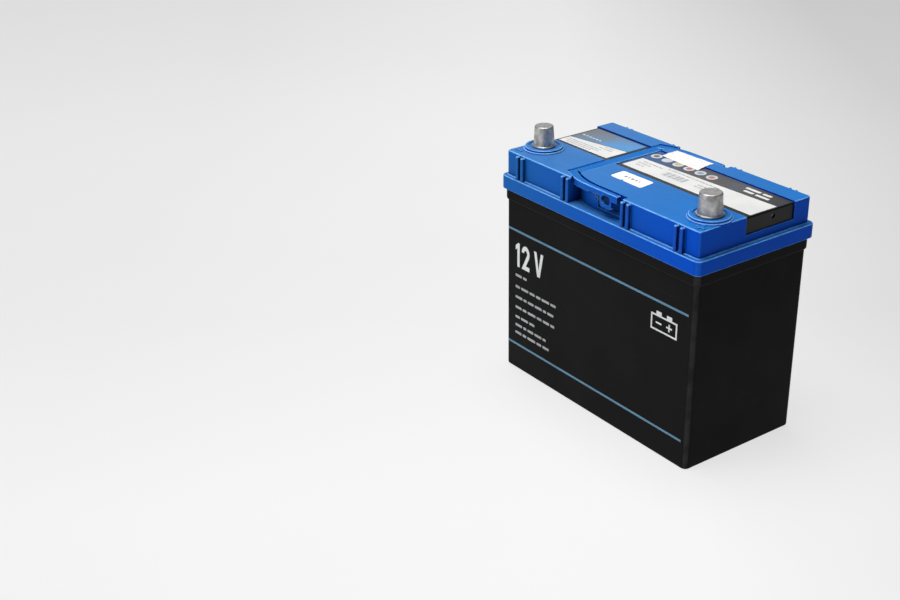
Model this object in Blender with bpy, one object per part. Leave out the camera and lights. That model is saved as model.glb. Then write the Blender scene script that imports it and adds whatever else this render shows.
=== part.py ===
"""Twelve-volt absorbed-glass-mat starter battery, built from the parts that it is assembled from.

Metres, +Z up. The origin is on the underside, in the middle of the lid's outline. +X runs along
the long side towards the positive post, and -Y is the front, the side that the posts are nearer to.
"""

import math

import bmesh
import bpy
from mathutils import Matrix, Vector

# Fits
GAP = 0.0003
SKIRT_GAP = 0.0006

# Case: one moulding with a partition between each two cells
CASE_LENGTH = 0.231
CASE_WIDTH = 0.120
CASE_HEIGHT = 0.176
CASE_CORNER = 0.005
CASE_WALL = 0.0026
CASE_FLOOR = 0.0028
CASE_EDGE = 0.0015
CELL_COUNT = 6
CELL_CORNER = 0.002
PARTITION = 0.0018
COLLAR_DROP = 0.0155
COLLAR_HEIGHT = 0.0095
COLLAR_PROUD = 0.0016
COLLAR_EDGE = 0.0004
RAIL_HEIGHT = 0.003
RAIL_WIDTH = 0.004
RAIL_SPACING = 0.050

# Plate groups and separators
POSITIVE_PLATE = 0.0016
NEGATIVE_PLATE = 0.0013
SEPARATOR = 0.0010
PACK_SIDE_GAP = 0.0010
PLATE_END_GAP = 0.0034
PLATE_DROP = 0.0479
SEPARATOR_RISE = 0.0025
LUG_WIDTH = 0.011
LUG_HEIGHT = 0.010
STRAP_WIDTH = 0.015
STRAP_HEIGHT = 0.007
RISER_THICKNESS = 0.004
RISER_HEIGHT = 0.016
WELD_RADIUS = 0.0037
PILLAR_RADIUS = 0.0052

# Lid: flange, raised body and the land that is welded to the case's rim
FLANGE_OVERHANG = 0.0035
SKIRT_DEPTH = 0.0055
FLANGE_HEIGHT = 0.012
FLANGE_CORNER = 0.0055
FLANGE_EDGE = 0.0010
BODY_STEP = 0.004
BODY_HEIGHT = 0.022
BODY_CORNER = 0.0025
BODY_EDGE = 0.0012
LID_WALL = 0.003
RIB_WIDTH = 0.0030
RIB_PITCH = 0.0064
RIB_INNER_X = 0.036
RIB_OUTER_X = 0.095
RIB_DROP = 0.0009
RIB_SETBACK = 0.0005
RIB_EDGE = 0.0008

# Valve chambers under the two covers, and their vents
CHAMBER_TO_FRONT = 0.0556
CHAMBER_TO_BACK = 0.0252
CHAMBER_END_WALL = 0.0057
CHAMBER_TO_CHANNEL = 0.0032
CHAMBER_CORNER = 0.003
CHAMBER_DEPTH = 0.013
CHAMBER_FLOOR = 0.0025
COVER_LEDGE = 0.0020
COVER_THICKNESS = 0.0016
STUB_RADIUS = 0.0050
STUB_BORE = 0.0030
STUB_HEIGHT = 0.0055
CAP_WALL = 0.0012
CAP_HEIGHT = 0.0060
PEG_RADIUS = 0.0025
VENT_FROM_CHAMBER_MIDDLE = 0.0038
VENT_DROP = 0.0069
VENT_RADIUS = 0.0021
ARRESTOR_RADIUS = 0.0024
ARRESTOR_LENGTH = 0.0022

# Labels: film that lies sunk over a cover and turns down over the end of the lid
LABEL_FILM = 0.00035
LABEL_SINK = 0.0012
LABEL_BEND = 0.0028
LABEL_MARGIN = 0.0010
LABEL_FLAP = 0.0148

# Terminal posts
POST_FROM_END = 0.0210
POST_FROM_FRONT = 0.0303
POST_TAPER = 0.0009
POST_HEIGHT = 0.0179
POSITIVE_POST_RADIUS = 0.00975
NEGATIVE_POST_RADIUS = 0.00895
POST_EDGE = 0.0009
SHOULDER_PROUD = 0.0011
SHOULDER_HEIGHT = 0.0013
SLEEVE_RADIUS = 0.0082
SLEEVE_RING = 0.0016
SLEEVE_RING_HEIGHT = 0.002
PILLAR_WELD_DROP = 0.0004
BOSS_WALL = 0.0055
BOSS_DEPTH = 0.0175
POST_COLLAR_RADIUS = 0.0176
POST_COLLAR_STEP = 0.0013
POST_COLLAR_HEIGHT = 0.0031
POST_COLLAR_RIM = 0.0042
POST_COLLAR_SINK = 0.0008

# Handle: a bail folded flat into a bed in the lid, with an eye on each arm that turns on a pin
BAR_OFFSET = 0.0016
BAR_WIDTH = 0.0100
BAR_THICKNESS = 0.0026
HANDLE_DROP = 0.0006
HANDLE_EDGE = 0.0006
ARM_SETBACK = 0.0042
ARM_WIDTH = 0.0044
ARM_END = 0.0240
OUTER_BEND = 0.071
OUTER_BEND_X = -0.012
INNER_BEND = 0.070
INNER_BEND_X = -0.004
SKIRT = 0.0022
GRIP_SKIRT_DEPTH = 0.0058
GRIP_END = -0.0110
ARM_SKIRT_DEPTH = 0.0046
END_SKIRT_DEPTH = 0.0062
END_SKIRT_X = 0.0170
SKIRT_STEP = 0.0008
EYE_X = 0.0108
EYE_DROP = 0.0067
EYE_RADIUS = 0.0067
EYE_THICKNESS = 0.0030
EYE_CORNER = 0.0020
EYE_HOLE_WIDTH = 0.0102
EYE_HOLE_HEIGHT = 0.0076
EYE_HOLE_CORNER = 0.0030
PIN_RADIUS = 0.0033
PIN_SETBACK = 0.0014

# Bed and finger recesses for the handle
BED_GAP = 0.0005
SWING_GAP = 0.0010
BED_WALL = 0.0020
POCKET_DEPTH = 0.0050
POCKET_FLOOR = 0.0030
POCKET_DROP = 0.0035
POCKET_LEFT = -0.0160
POCKET_WALL_X = -0.0035
POCKET_RIGHT = 0.0260
POCKET_SHOULDER = 0.0085
POCKET_SHOULDER_DROP = 0.0082

# Facets on full turns, quarter turns and the arms' bends, and what counts as one point or a sharp edge
FINE_TURN = 32
SMALL_TURN = 12
QUARTER = 5
SMALL_QUARTER = 3
ARM_STEPS = 8
SAME_POINT = 1e-7
SHARP_DEGREES = 35

# Sizes that follow from the ones above
CELL_WIDTH = (CASE_LENGTH - 2 * CASE_WALL - (CELL_COUNT - 1) * PARTITION) / CELL_COUNT
CELL_DEPTH = CASE_WIDTH - 2 * CASE_WALL
CELL_PITCH = CELL_WIDTH + PARTITION
PLATE_PITCH = (POSITIVE_PLATE + NEGATIVE_PLATE) / 2 + SEPARATOR + 2 * GAP
POSITIVE_COUNT = int((CELL_WIDTH - 2 * PACK_SIDE_GAP - NEGATIVE_PLATE) // (2 * PLATE_PITCH))
PACK_WIDTH = 2 * POSITIVE_COUNT * PLATE_PITCH + NEGATIVE_PLATE
PLATE_WIDTH = CELL_DEPTH - 2 * PLATE_END_GAP
PLATE_BOTTOM = CASE_FLOOR + RAIL_HEIGHT + GAP
PLATE_TOP = CASE_HEIGHT - PLATE_DROP
STRAP_BOTTOM = PLATE_TOP + LUG_HEIGHT
STRAP_TOP = STRAP_BOTTOM + STRAP_HEIGHT
WELD_Z = STRAP_TOP + RISER_HEIGHT / 2

FLANGE_LENGTH = CASE_LENGTH + 2 * FLANGE_OVERHANG
FLANGE_WIDTH = CASE_WIDTH + 2 * FLANGE_OVERHANG
FLANGE_BOTTOM = CASE_HEIGHT - SKIRT_DEPTH
FLANGE_TOP = FLANGE_BOTTOM + FLANGE_HEIGHT
LAND = CASE_HEIGHT + GAP
BODY_LENGTH = FLANGE_LENGTH - 2 * BODY_STEP
BODY_WIDTH = FLANGE_WIDTH - 2 * BODY_STEP
LID_TOP = FLANGE_TOP + BODY_HEIGHT
CEILING = LID_TOP - LID_WALL

CHAMBER_WIDTH = FLANGE_WIDTH - CHAMBER_TO_FRONT - CHAMBER_TO_BACK
CHAMBER_Y = (CHAMBER_TO_FRONT - CHAMBER_TO_BACK) / 2
LABEL_BED = LABEL_SINK + LABEL_FILM + GAP
LABEL_SEAT = LID_TOP - LABEL_BED
COVER_BOTTOM = LABEL_SEAT - COVER_THICKNESS
COVER_SEAT = COVER_BOTTOM - GAP
CHAMBER_BOTTOM = LID_TOP - CHAMBER_DEPTH
CHAMBER_CEILING = CHAMBER_BOTTOM - CHAMBER_FLOOR
VENT_Z = LID_TOP - VENT_DROP
VENT_Y = CHAMBER_Y + VENT_FROM_CHAMBER_MIDDLE

FRONT = -FLANGE_WIDTH / 2
POST_X = FLANGE_LENGTH / 2 - POST_FROM_END
POST_Y = FRONT + POST_FROM_FRONT
POST_COLLAR_FLOOR = LID_TOP + POST_COLLAR_HEIGHT - POST_COLLAR_SINK
SHOULDER_BOTTOM = POST_COLLAR_FLOOR + GAP
SHOULDER_TOP = SHOULDER_BOTTOM + SHOULDER_HEIGHT
POST_TOP = SHOULDER_BOTTOM + POST_HEIGHT
BOSS_BOTTOM = LID_TOP - BOSS_DEPTH

RECESS_HALF = RIB_INNER_X - RIB_PITCH / 2 - RIB_WIDTH / 2
BAR_LEFT = -CELL_PITCH - BAR_OFFSET - BAR_WIDTH / 2
BAR_RIGHT = BAR_LEFT + BAR_WIDTH
CHANNEL_LEFT = BAR_LEFT - BED_GAP
CHANNEL_RIGHT = BAR_RIGHT + SWING_GAP
ARM_REACH = FLANGE_WIDTH / 2 - ARM_SETBACK
HANDLE_TOP = LID_TOP - HANDLE_DROP
BAR_BED = HANDLE_TOP - BAR_THICKNESS - BED_GAP
ARM_BED = HANDLE_TOP - GRIP_SKIRT_DEPTH - BED_GAP
EYE_Z = HANDLE_TOP - EYE_DROP
POCKET_REACH = ARM_REACH - ARM_WIDTH - SWING_GAP - POCKET_DEPTH


# Outlines


def spread(start, end, steps):
    """Evenly spaced values, both ends included."""
    return [start + (end - start) * k / steps for k in range(steps + 1)]


def arc(centre, radius, start, end, steps):
    """Points on an arc, in degrees, both ends included."""
    angles = [math.radians(a) for a in spread(start, end, steps)]
    return [(centre[0] + radius * math.cos(a), centre[1] + radius * math.sin(a)) for a in angles]


def circle(centre, radius, facets):
    return arc(centre, radius, 0, 360 - 360 / facets, facets - 1)


def rounded_rectangle(length, width, radius, centre=(0.0, 0.0), steps=QUARTER):
    """Anticlockwise outline with round corners."""
    points = []
    for sx, sy, start in ((1, 1, 0), (-1, 1, 90), (-1, -1, 180), (1, -1, 270)):
        corner = (centre[0] + sx * (length / 2 - radius), centre[1] + sy * (width / 2 - radius))
        points += arc(corner, radius, start, start + 90, steps)
    return points


def rectangle(x0, x1, y0, y1):
    return [(x0, y0), (x1, y0), (x1, y1), (x0, y1)]


def meander(lines, low, high, thickness):
    """Outline of one mat folded back and forth along the given lines."""
    path = []
    for k, x in enumerate(lines):
        ends = (low, high) if k % 2 == 0 else (high, low)
        path += [(x, ends[0]), (x, ends[1])]
    points = [Vector(p) for p in path]
    steps = [(b - a).normalized() for a, b in zip(points, points[1:])]
    normals = [Vector((-s.y, s.x)) for s in steps]
    half = thickness / 2
    sides = ([], [])
    for k, point in enumerate(points):
        before = normals[max(k - 1, 0)]
        after = normals[min(k, len(normals) - 1)]
        offset = before if k in (0, len(points) - 1) else before + after
        sides[0].append(point + offset * half)
        sides[1].append(point - offset * half)
    return [tuple(p) for p in sides[0] + sides[1][::-1]]


def bend_reach(x, bend_x, radius, reach):
    """Distance from the lid's middle line of an edge: straight, then turning in to the left of a bend."""
    run = max(bend_x - x, 0)
    return reach - radius + math.sqrt(radius**2 - run**2)


def arm_outer(x, grow=0.0):
    """Outer edge of a handle arm, or of what is that much wider."""
    return bend_reach(x, OUTER_BEND_X, OUTER_BEND + grow, ARM_REACH + grow)


def arm_inner(x, grow=0.0):
    """Inner edge of a handle arm, or of what is that much wider."""
    return bend_reach(x, INNER_BEND_X, INNER_BEND - grow, ARM_REACH - ARM_WIDTH - grow)


def arm_plan(side, left, right, out, inside):
    """Outline of the room around an arm, with one clearance outside it and another inside."""
    places = spread(left, right, ARM_STEPS)
    far = [(x, side * arm_outer(x, out)) for x in places]
    near = [(x, side * arm_inner(x, inside)) for x in places]
    return far + near[::-1]


# Solids


def new_object(name, bm):
    bmesh.ops.recalc_face_normals(bm, faces=bm.faces)
    mesh = bpy.data.meshes.new(name)
    bm.to_mesh(mesh)
    bm.free()
    obj = bpy.data.objects.new(name, mesh)
    bpy.context.scene.collection.objects.link(obj)
    return obj


def loft(name, rings):
    """Closed solid through rings of equal point count, capped at both ends."""
    bm = bmesh.new()
    layers = [[bm.verts.new(point) for point in ring] for ring in rings]
    for low, high in zip(layers, layers[1:]):
        count = len(low)
        for k in range(count):
            bm.faces.new((low[k], low[(k + 1) % count], high[(k + 1) % count], high[k]))
    bm.faces.new(layers[0][::-1])
    bm.faces.new(layers[-1])
    return new_object(name, bm)


def prism(name, outline, bottom, top):
    """Outline in plan, pulled up along Z."""
    return loft(name, [[(x, y, z) for x, y in outline] for z in (bottom, top)])


def prism_x(name, outline, left, right):
    """Outline of (y, z) points, pulled along X."""
    return loft(name, [[(x, y, z) for y, z in outline] for x in (left, right)])


def prism_y(name, outline, front, back):
    """Outline of (x, z) points, pulled along Y."""
    return loft(name, [[(x, y, z) for x, z in outline] for y in (front, back)])


def slab(name, length, width, corner, bottom, top, bottom_edge, top_edge):
    """Block with round corners and round lower and upper edges."""
    turn = arc((0, 0), 1, 0, 90, SMALL_QUARTER)
    levels = [(bottom_edge * (1 - s), bottom + bottom_edge * (1 - c)) for c, s in turn]
    if not bottom_edge:
        levels = [(0, bottom)]
    if top_edge:
        levels += [(top_edge * (1 - c), top - top_edge * (1 - s)) for c, s in turn]
    else:
        levels.append((0, top))
    rings = []
    for inset, z in levels:
        radius = max(corner - inset, GAP)
        outline = rounded_rectangle(length - 2 * inset, width - 2 * inset, radius)
        rings.append([(x, y, z) for x, y in outline])
    return loft(name, rings)


def turned(name, profile, centre, facets):
    """Solid of revolution about a vertical line: (radius, z) points of a closed half section."""
    bm = bmesh.new()
    places = [(centre[0] + r, centre[1], z) for r, z in profile]
    verts = [bm.verts.new(p) for p in places]
    edges = [bm.edges.new((verts[k], verts[(k + 1) % len(verts)])) for k in range(len(verts))]
    bmesh.ops.spin(
        bm,
        geom=verts + edges,
        cent=(centre[0], centre[1], 0),
        axis=(0, 0, 1),
        angle=2 * math.pi,
        steps=facets,
        use_merge=True,
    )
    bmesh.ops.remove_doubles(bm, verts=bm.verts, dist=SAME_POINT)
    bmesh.ops.dissolve_degenerate(bm, edges=bm.edges, dist=SAME_POINT)
    loose = [edge for edge in bm.edges if not edge.link_faces]
    bmesh.ops.delete(bm, geom=loose, context="EDGES")
    return new_object(name, bm)


def rod_x(name, radius, left, right, y, z, facets=SMALL_TURN):
    """Round bar along X."""
    return prism_x(name, circle((y, z), radius, facets), left, right)


def welded(mesh):
    """The mesh with points that coincide made one."""
    bm = bmesh.new()
    bm.from_mesh(mesh)
    bmesh.ops.remove_doubles(bm, verts=bm.verts, dist=SAME_POINT)
    bm.to_mesh(mesh)
    bm.free()
    return mesh


def combine(base, tools, operation):
    """Join tools to a base, or cut them out of it, and keep the result as the base's mesh."""
    group = bpy.data.collections.new("tools")
    bpy.context.scene.collection.children.link(group)
    for tool in tools:
        group.objects.link(tool)
    step = base.modifiers.new(operation.lower(), "BOOLEAN")
    step.operation = operation
    step.solver = "EXACT"
    step.operand_type = "COLLECTION"
    step.collection = group
    result = base.evaluated_get(bpy.context.evaluated_depsgraph_get())
    base.data = welded(bpy.data.meshes.new_from_object(result))
    base.modifiers.clear()
    for tool in tools:
        bpy.data.objects.remove(tool)
    bpy.data.collections.remove(group)
    return base


def join(base, tools):
    return combine(base, tools, "UNION")


def cut(base, tools):
    return combine(base, tools, "DIFFERENCE")


def material(name, colour, roughness, metallic=0.0):
    made = bpy.data.materials.new(name)
    made.use_nodes = True
    shader = made.node_tree.nodes["Principled BSDF"]
    shader.inputs["Base Color"].default_value = (*colour, 1.0)
    shader.inputs["Roughness"].default_value = roughness
    shader.inputs["Metallic"].default_value = metallic
    return made


def finish(obj, finish_material, parent):
    """Name, shade and hang a finished piece on the battery's empty."""
    obj.data.name = obj.name
    obj.data.materials.clear()
    obj.data.materials.append(finish_material)
    obj.data.shade_smooth()
    obj.data.set_sharp_from_angle(angle=math.radians(SHARP_DEGREES))
    obj.parent = parent
    return obj


def move_origin(obj, place):
    """Put an object's origin at a place without moving its shape."""
    obj.data.transform(Matrix.Translation(-Vector(place)))
    obj.location = place
    return obj


# Case


def cell_x(index):
    """Middle of a cell along the case."""
    return (index - (CELL_COUNT - 1) / 2) * CELL_PITCH


def strap_y(index, positive):
    """Side on which a cell's strap runs: front and back change places from cell to cell."""
    at_front = (index % 2 == 1) == positive
    return POST_Y if at_front else -POST_Y


def weld_places():
    """Partition number, its middle along the case, and the side its weld is on."""
    for k in range(CELL_COUNT - 1):
        yield k, cell_x(k) + CELL_PITCH / 2, strap_y(k, True)


def build_case():
    case = slab("case", CASE_LENGTH, CASE_WIDTH, CASE_CORNER, 0, CASE_HEIGHT, CASE_EDGE, 0)
    collar_top = CASE_HEIGHT - COLLAR_DROP + COLLAR_HEIGHT
    collar = slab(
        "collar",
        CASE_LENGTH + 2 * COLLAR_PROUD,
        CASE_WIDTH + 2 * COLLAR_PROUD,
        CASE_CORNER + COLLAR_PROUD,
        CASE_HEIGHT - COLLAR_DROP,
        collar_top,
        COLLAR_PROUD,
        COLLAR_EDGE,
    )
    join(case, [collar])
    cells = []
    for k in range(CELL_COUNT):
        plan = rounded_rectangle(CELL_WIDTH, CELL_DEPTH, CELL_CORNER, (cell_x(k), 0), SMALL_QUARTER)
        cells.append(prism("cell", plan, CASE_FLOOR, CASE_HEIGHT + CASE_WALL))
    cut(case, cells)
    rails = []
    reach = CASE_LENGTH / 2 - CASE_WALL / 2
    for side in (-1, 1):
        middle = side * RAIL_SPACING / 2
        plan = rectangle(-reach, reach, middle - RAIL_WIDTH / 2, middle + RAIL_WIDTH / 2)
        rails.append(prism("rail", plan, CASE_FLOOR / 2, CASE_FLOOR + RAIL_HEIGHT))
    join(case, rails)
    holes = []
    for _, x, y in weld_places():
        holes.append(rod_x("weld_hole", WELD_RADIUS + GAP, x - PARTITION, x + PARTITION, y, WELD_Z))
    return cut(case, holes)


# Cells


def plate_x(number):
    """Middle of a plate from the pack's middle, counted across both kinds, negatives first."""
    return (number - POSITIVE_COUNT) * PLATE_PITCH


def plate_group(name, index, positive, finish_material, parent):
    """Plates of one kind, hung by their lugs on a cast strap that leads to the next cell or post."""
    y = strap_y(index, positive)
    thickness = POSITIVE_PLATE if positive else NEGATIVE_PLATE
    first = 1 if positive else 0
    half = PLATE_WIDTH / 2
    strap_ends = [-PACK_WIDTH / 2, PACK_WIDTH / 2]
    tools = []
    leads_right = positive and index < CELL_COUNT - 1
    leads_left = not positive and index > 0
    if leads_right or leads_left:
        side = 1 if leads_right else -1
        wall = side * (CELL_WIDTH / 2 - GAP)
        back = wall - side * RISER_THICKNESS
        plan = rectangle(*sorted((wall, back)), y - STRAP_WIDTH / 2, y + STRAP_WIDTH / 2)
        tools.append(prism("riser", plan, STRAP_BOTTOM, STRAP_TOP + RISER_HEIGHT))
        strap_ends[leads_right] = back + side * RISER_THICKNESS / 2
    else:
        across = (POST_X if positive else -POST_X) - cell_x(index)
        plan = circle((across, y), PILLAR_RADIUS, SMALL_TURN)
        tools.append(prism("pillar", plan, STRAP_TOP - STRAP_HEIGHT / 2, POST_TOP - PILLAR_WELD_DROP))
    for number in range(first, 2 * POSITIVE_COUNT + 1, 2):
        lug = (y - LUG_WIDTH / 2, y + LUG_WIDTH / 2)
        outline = [
            (-half, PLATE_BOTTOM),
            (half, PLATE_BOTTOM),
            (half, PLATE_TOP),
            (lug[1], PLATE_TOP),
            (lug[1], STRAP_BOTTOM + STRAP_HEIGHT / 2),
            (lug[0], STRAP_BOTTOM + STRAP_HEIGHT / 2),
            (lug[0], PLATE_TOP),
            (-half, PLATE_TOP),
        ]
        middle = plate_x(number)
        tools.append(prism_x("plate", outline, middle - thickness / 2, middle + thickness / 2))
    plan = rectangle(*strap_ends, y - STRAP_WIDTH / 2, y + STRAP_WIDTH / 2)
    group = join(prism(name, plan, STRAP_BOTTOM, STRAP_TOP), tools)
    group.location.x = cell_x(index)
    return finish(group, finish_material, parent)


def separator_pack(name, index, finish_material, parent):
    """One glass mat folded between the plates, round a positive at one side and a negative at the other."""
    lines = []
    for k in range(2 * POSITIVE_COUNT):
        left = NEGATIVE_PLATE if k % 2 == 0 else POSITIVE_PLATE
        lines.append(plate_x(k) + left / 2 + GAP + SEPARATOR / 2)
    turn = PLATE_WIDTH / 2 + GAP + SEPARATOR / 2
    outline = meander(lines, -turn, turn, SEPARATOR)
    pack = prism(name, outline, PLATE_BOTTOM, PLATE_TOP + SEPARATOR_RISE)
    pack.location.x = cell_x(index)
    return finish(pack, finish_material, parent)


def build_cells(finishes, parent):
    for k in range(CELL_COUNT):
        plate_group(f"positive_plates_{k + 1}", k, True, finishes["positive"], parent)
        plate_group(f"negative_plates_{k + 1}", k, False, finishes["negative"], parent)
        separator_pack(f"separator_{k + 1}", k, finishes["mat"], parent)
    for k, x, y in weld_places():
        half = PARTITION / 2
        weld = rod_x(f"cell_weld_{k + 1}", WELD_RADIUS, -half, half, y, WELD_Z)
        weld.location.x = x
        finish(weld, finishes["lead"], parent)


# Lid


def rib(side, x):
    """Upright rib with a round head and a softened front edge, on the front or back of the lid."""
    face = FLANGE_WIDTH / 2 - RIB_SETBACK
    rings = []
    for reach, inset in ((BODY_WIDTH / 2 - RIB_WIDTH / 2, 0), (face - RIB_EDGE, 0), (face, RIB_EDGE)):
        radius = RIB_WIDTH / 2 - inset
        head = (x, LID_TOP - RIB_DROP - RIB_WIDTH / 2)
        outline = arc(head, radius, 0, 180, 2 * SMALL_QUARTER)
        outline += [(x - radius, FLANGE_TOP - LID_WALL / 2), (x + radius, FLANGE_TOP - LID_WALL / 2)]
        rings.append([(px, side * reach, pz) for px, pz in outline])
    return loft("rib", rings)


def ribs():
    """Four pairs on each long side."""
    made = []
    for side in (-1, 1):
        for middle in (-RIB_OUTER_X, -RIB_INNER_X, RIB_INNER_X, RIB_OUTER_X):
            for half in (-RIB_PITCH / 2, RIB_PITCH / 2):
                made.append(rib(side, middle + half))
    return made


def post_collar(side):
    """Stepped ring that stands round a post, with a shallow floor for the post's shoulder."""
    radius = POST_COLLAR_RADIUS
    inner = radius - POST_COLLAR_STEP
    soft = POST_COLLAR_STEP / 2
    top = LID_TOP + POST_COLLAR_HEIGHT
    profile = [
        (0, LID_TOP - LID_WALL / 2),
        (radius, LID_TOP - LID_WALL / 2),
        (radius, LID_TOP + POST_COLLAR_STEP - soft),
        (radius - soft, LID_TOP + POST_COLLAR_STEP),
        (inner, LID_TOP + POST_COLLAR_STEP),
        (inner, top - soft),
        (inner - soft, top),
        (radius - POST_COLLAR_RIM, top),
        (radius - POST_COLLAR_RIM, POST_COLLAR_FLOOR),
        (0, POST_COLLAR_FLOOR),
    ]
    return turned("post_collar", profile, (side * POST_X, POST_Y), FINE_TURN)


def sleeve_profile(grow):
    """Half section of a post's sleeve inside the lid, with its locking ring, grown by a clearance."""
    ring = (BOSS_BOTTOM + LID_TOP) / 2
    outer = SLEEVE_RADIUS + grow
    locking = outer + SLEEVE_RING
    half = SLEEVE_RING_HEIGHT / 2 + grow
    return [
        (outer, BOSS_BOTTOM),
        (outer, ring - half),
        (locking, ring - half),
        (locking, ring + half),
        (outer, ring + half),
        (outer, SHOULDER_BOTTOM),
    ]


def sleeve_bore(side):
    """Room for a post's sleeve, open at both ends."""
    inside = sleeve_profile(GAP)
    low = (inside[0][0], BOSS_BOTTOM - LID_WALL)
    high = (inside[-1][0], SHOULDER_BOTTOM + LID_WALL)
    profile = [(0, low[1]), low, *inside[1:-1], high, (0, high[1])]
    return turned("sleeve_bore", profile, (side * POST_X, POST_Y), FINE_TURN)


def post_boss(side):
    """Socket under the lid that the post's sleeve is moulded into."""
    plan = circle((side * POST_X, POST_Y), SLEEVE_RADIUS + BOSS_WALL, FINE_TURN)
    return prism("post_boss", plan, BOSS_BOTTOM, CEILING + LID_WALL / 2)


def chamber_span(side):
    """Ends of a valve chamber along the lid: outer wall to the handle's channel."""
    outer = side * (BODY_LENGTH / 2 - CHAMBER_END_WALL)
    channel = CHANNEL_RIGHT if side > 0 else CHANNEL_LEFT
    return tuple(sorted((outer, channel + side * CHAMBER_TO_CHANNEL)))


def chamber_plan(side, grow):
    """Outline of a valve chamber, or of what is that much wider all round."""
    left, right = chamber_span(side)
    length = right - left + 2 * grow
    width = CHAMBER_WIDTH + 2 * grow
    middle = ((left + right) / 2, CHAMBER_Y)
    return rounded_rectangle(length, width, CHAMBER_CORNER, middle, SMALL_QUARTER)


def chamber_cells(side):
    """Cells that a chamber serves."""
    left, right = chamber_span(side)
    return [k for k in range(CELL_COUNT) if left < cell_x(k) < right]


def label_end(side):
    """Edge of a label beside the channel."""
    left, right = chamber_span(side)
    return left - COVER_LEDGE - LABEL_MARGIN if side > 0 else right + COVER_LEDGE + LABEL_MARGIN


def label_reach():
    """Front and back edges of the labels."""
    half = CHAMBER_WIDTH / 2 + COVER_LEDGE + LABEL_MARGIN
    return CHAMBER_Y - half, CHAMBER_Y + half


def label_line(side, depth, grow):
    """Line in (x, z) at a depth under the lid's surface, along its top and down over one end.

    Both ends of the line run past the label's own by grow.
    """
    face = BODY_LENGTH / 2 - depth
    centre = (BODY_LENGTH / 2 - LABEL_BEND, LID_TOP - LABEL_BEND)
    bend = arc(centre, LABEL_BEND - depth, 90, 0, SMALL_QUARTER)
    line = [(side * label_end(side) - grow, LID_TOP - depth), *bend, (face, LID_TOP - LABEL_FLAP - grow)]
    return [(side * x, z) for x, z in line]


def label_bed(side):
    """Shallow bed for a label, open above and at the end."""
    front, back = label_reach()
    floor = label_line(side, LABEL_BED, GAP)
    outside = side * (BODY_LENGTH / 2 + LID_WALL)
    above = LID_TOP + LID_WALL
    outline = [*floor, (outside, floor[-1][1]), (outside, above), (floor[0][0], above)]
    return prism_y("label_bed", outline, front - GAP, back + GAP)


def cell_core(index):
    """Hollow under the lid above one cell: low under the valve chambers, high in front and behind."""
    room = CELL_WIDTH - 2 * SKIRT_GAP
    left = cell_x(index) - room / 2
    start = LAND - LID_WALL
    front = -BODY_WIDTH / 2 + LID_WALL
    back = BODY_WIDTH / 2 - LID_WALL
    bed_front, bed_back = label_reach()
    shelf_front = bed_front - LID_WALL
    shelf_back = bed_back + LID_WALL
    outline = [(front, start)]
    beside_recess = abs(cell_x(index)) - room / 2 < RECESS_HALF
    wall = min(arm_inner(-RECESS_HALF, SWING_GAP), POCKET_REACH) - LID_WALL
    step = FLANGE_TOP - LID_WALL
    if beside_recess:
        outline += [(front, step), (-wall, step), (-wall, CEILING)]
    else:
        outline += [(front, CEILING)]
    outline += [(shelf_front, CEILING), (shelf_front, CHAMBER_CEILING)]
    if beside_recess:
        outline += [(wall, CHAMBER_CEILING), (wall, step), (back, step)]
    else:
        outline += [(shelf_back, CHAMBER_CEILING), (shelf_back, CEILING), (back, CEILING)]
    outline += [(back, start)]
    return prism_x("cell_core", outline, left, left + room)


def finger_recess(side):
    """Opening under a handle arm, down to the flange, with a back wall that follows the arm's bend."""
    back = [(x, side * arm_inner(x, SWING_GAP)) for x in spread(-RECESS_HALF, RECESS_HALF, 2 * ARM_STEPS)]
    outside = side * (FLANGE_WIDTH / 2 + LID_WALL)
    plan = back + [(RECESS_HALF, outside), (-RECESS_HALF, outside)]
    return prism("finger_recess", plan, FLANGE_TOP, LID_TOP + LID_WALL)


def eye_pocket(side):
    """Pocket in a recess's back wall, behind the eye, with a round shoulder at its left."""
    low = FLANGE_TOP + POCKET_FLOOR
    high = LID_TOP - POCKET_DROP
    shoulder = LID_TOP - POCKET_SHOULDER_DROP
    centre = (POCKET_WALL_X - POCKET_SHOULDER, shoulder - POCKET_SHOULDER)
    outline = [(POCKET_LEFT, high), (POCKET_LEFT, shoulder)]
    outline += arc(centre, POCKET_SHOULDER, 90, 0, QUARTER)
    outline += [(POCKET_WALL_X, low), (POCKET_RIGHT, low), (POCKET_RIGHT, high)]
    return prism_y("eye_pocket", outline, side * POCKET_REACH, side * ARM_REACH)


def arm_slot(side):
    """Slot behind a rib pair where an arm passes from its recess to the channel."""
    plan = arm_plan(side, CHANNEL_LEFT, -RECESS_HALF, BED_GAP, SWING_GAP)
    return prism("arm_slot", plan, ARM_BED, LID_TOP + LID_WALL)


def arm_slot_box(side):
    """Walls and floor under the lid's top that carry an arm's slot."""
    plan = arm_plan(side, CHANNEL_LEFT - BED_WALL, -RECESS_HALF, BED_GAP + BED_WALL, SWING_GAP + BED_WALL)
    return prism("arm_slot_box", plan, ARM_BED - BED_WALL, CEILING + LID_WALL / 2)


def channel():
    """Channel across the lid for the handle's bar."""
    reach = arm_inner(CHANNEL_RIGHT)
    plan = rectangle(CHANNEL_LEFT, CHANNEL_RIGHT, -reach, reach)
    return prism("channel", plan, BAR_BED, LID_TOP + LID_WALL)


def channel_box(side):
    """Floor and walls under the lid's top that carry the channel, in front of or behind the chambers."""
    near = label_reach()[side > 0] + side * BED_WALL
    far = side * arm_inner(CHANNEL_RIGHT)
    plan = rectangle(CHANNEL_LEFT - BED_WALL, CHANNEL_RIGHT + BED_WALL, near, far)
    return prism("channel_box", plan, BAR_BED - BED_WALL, CEILING + LID_WALL / 2)


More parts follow.
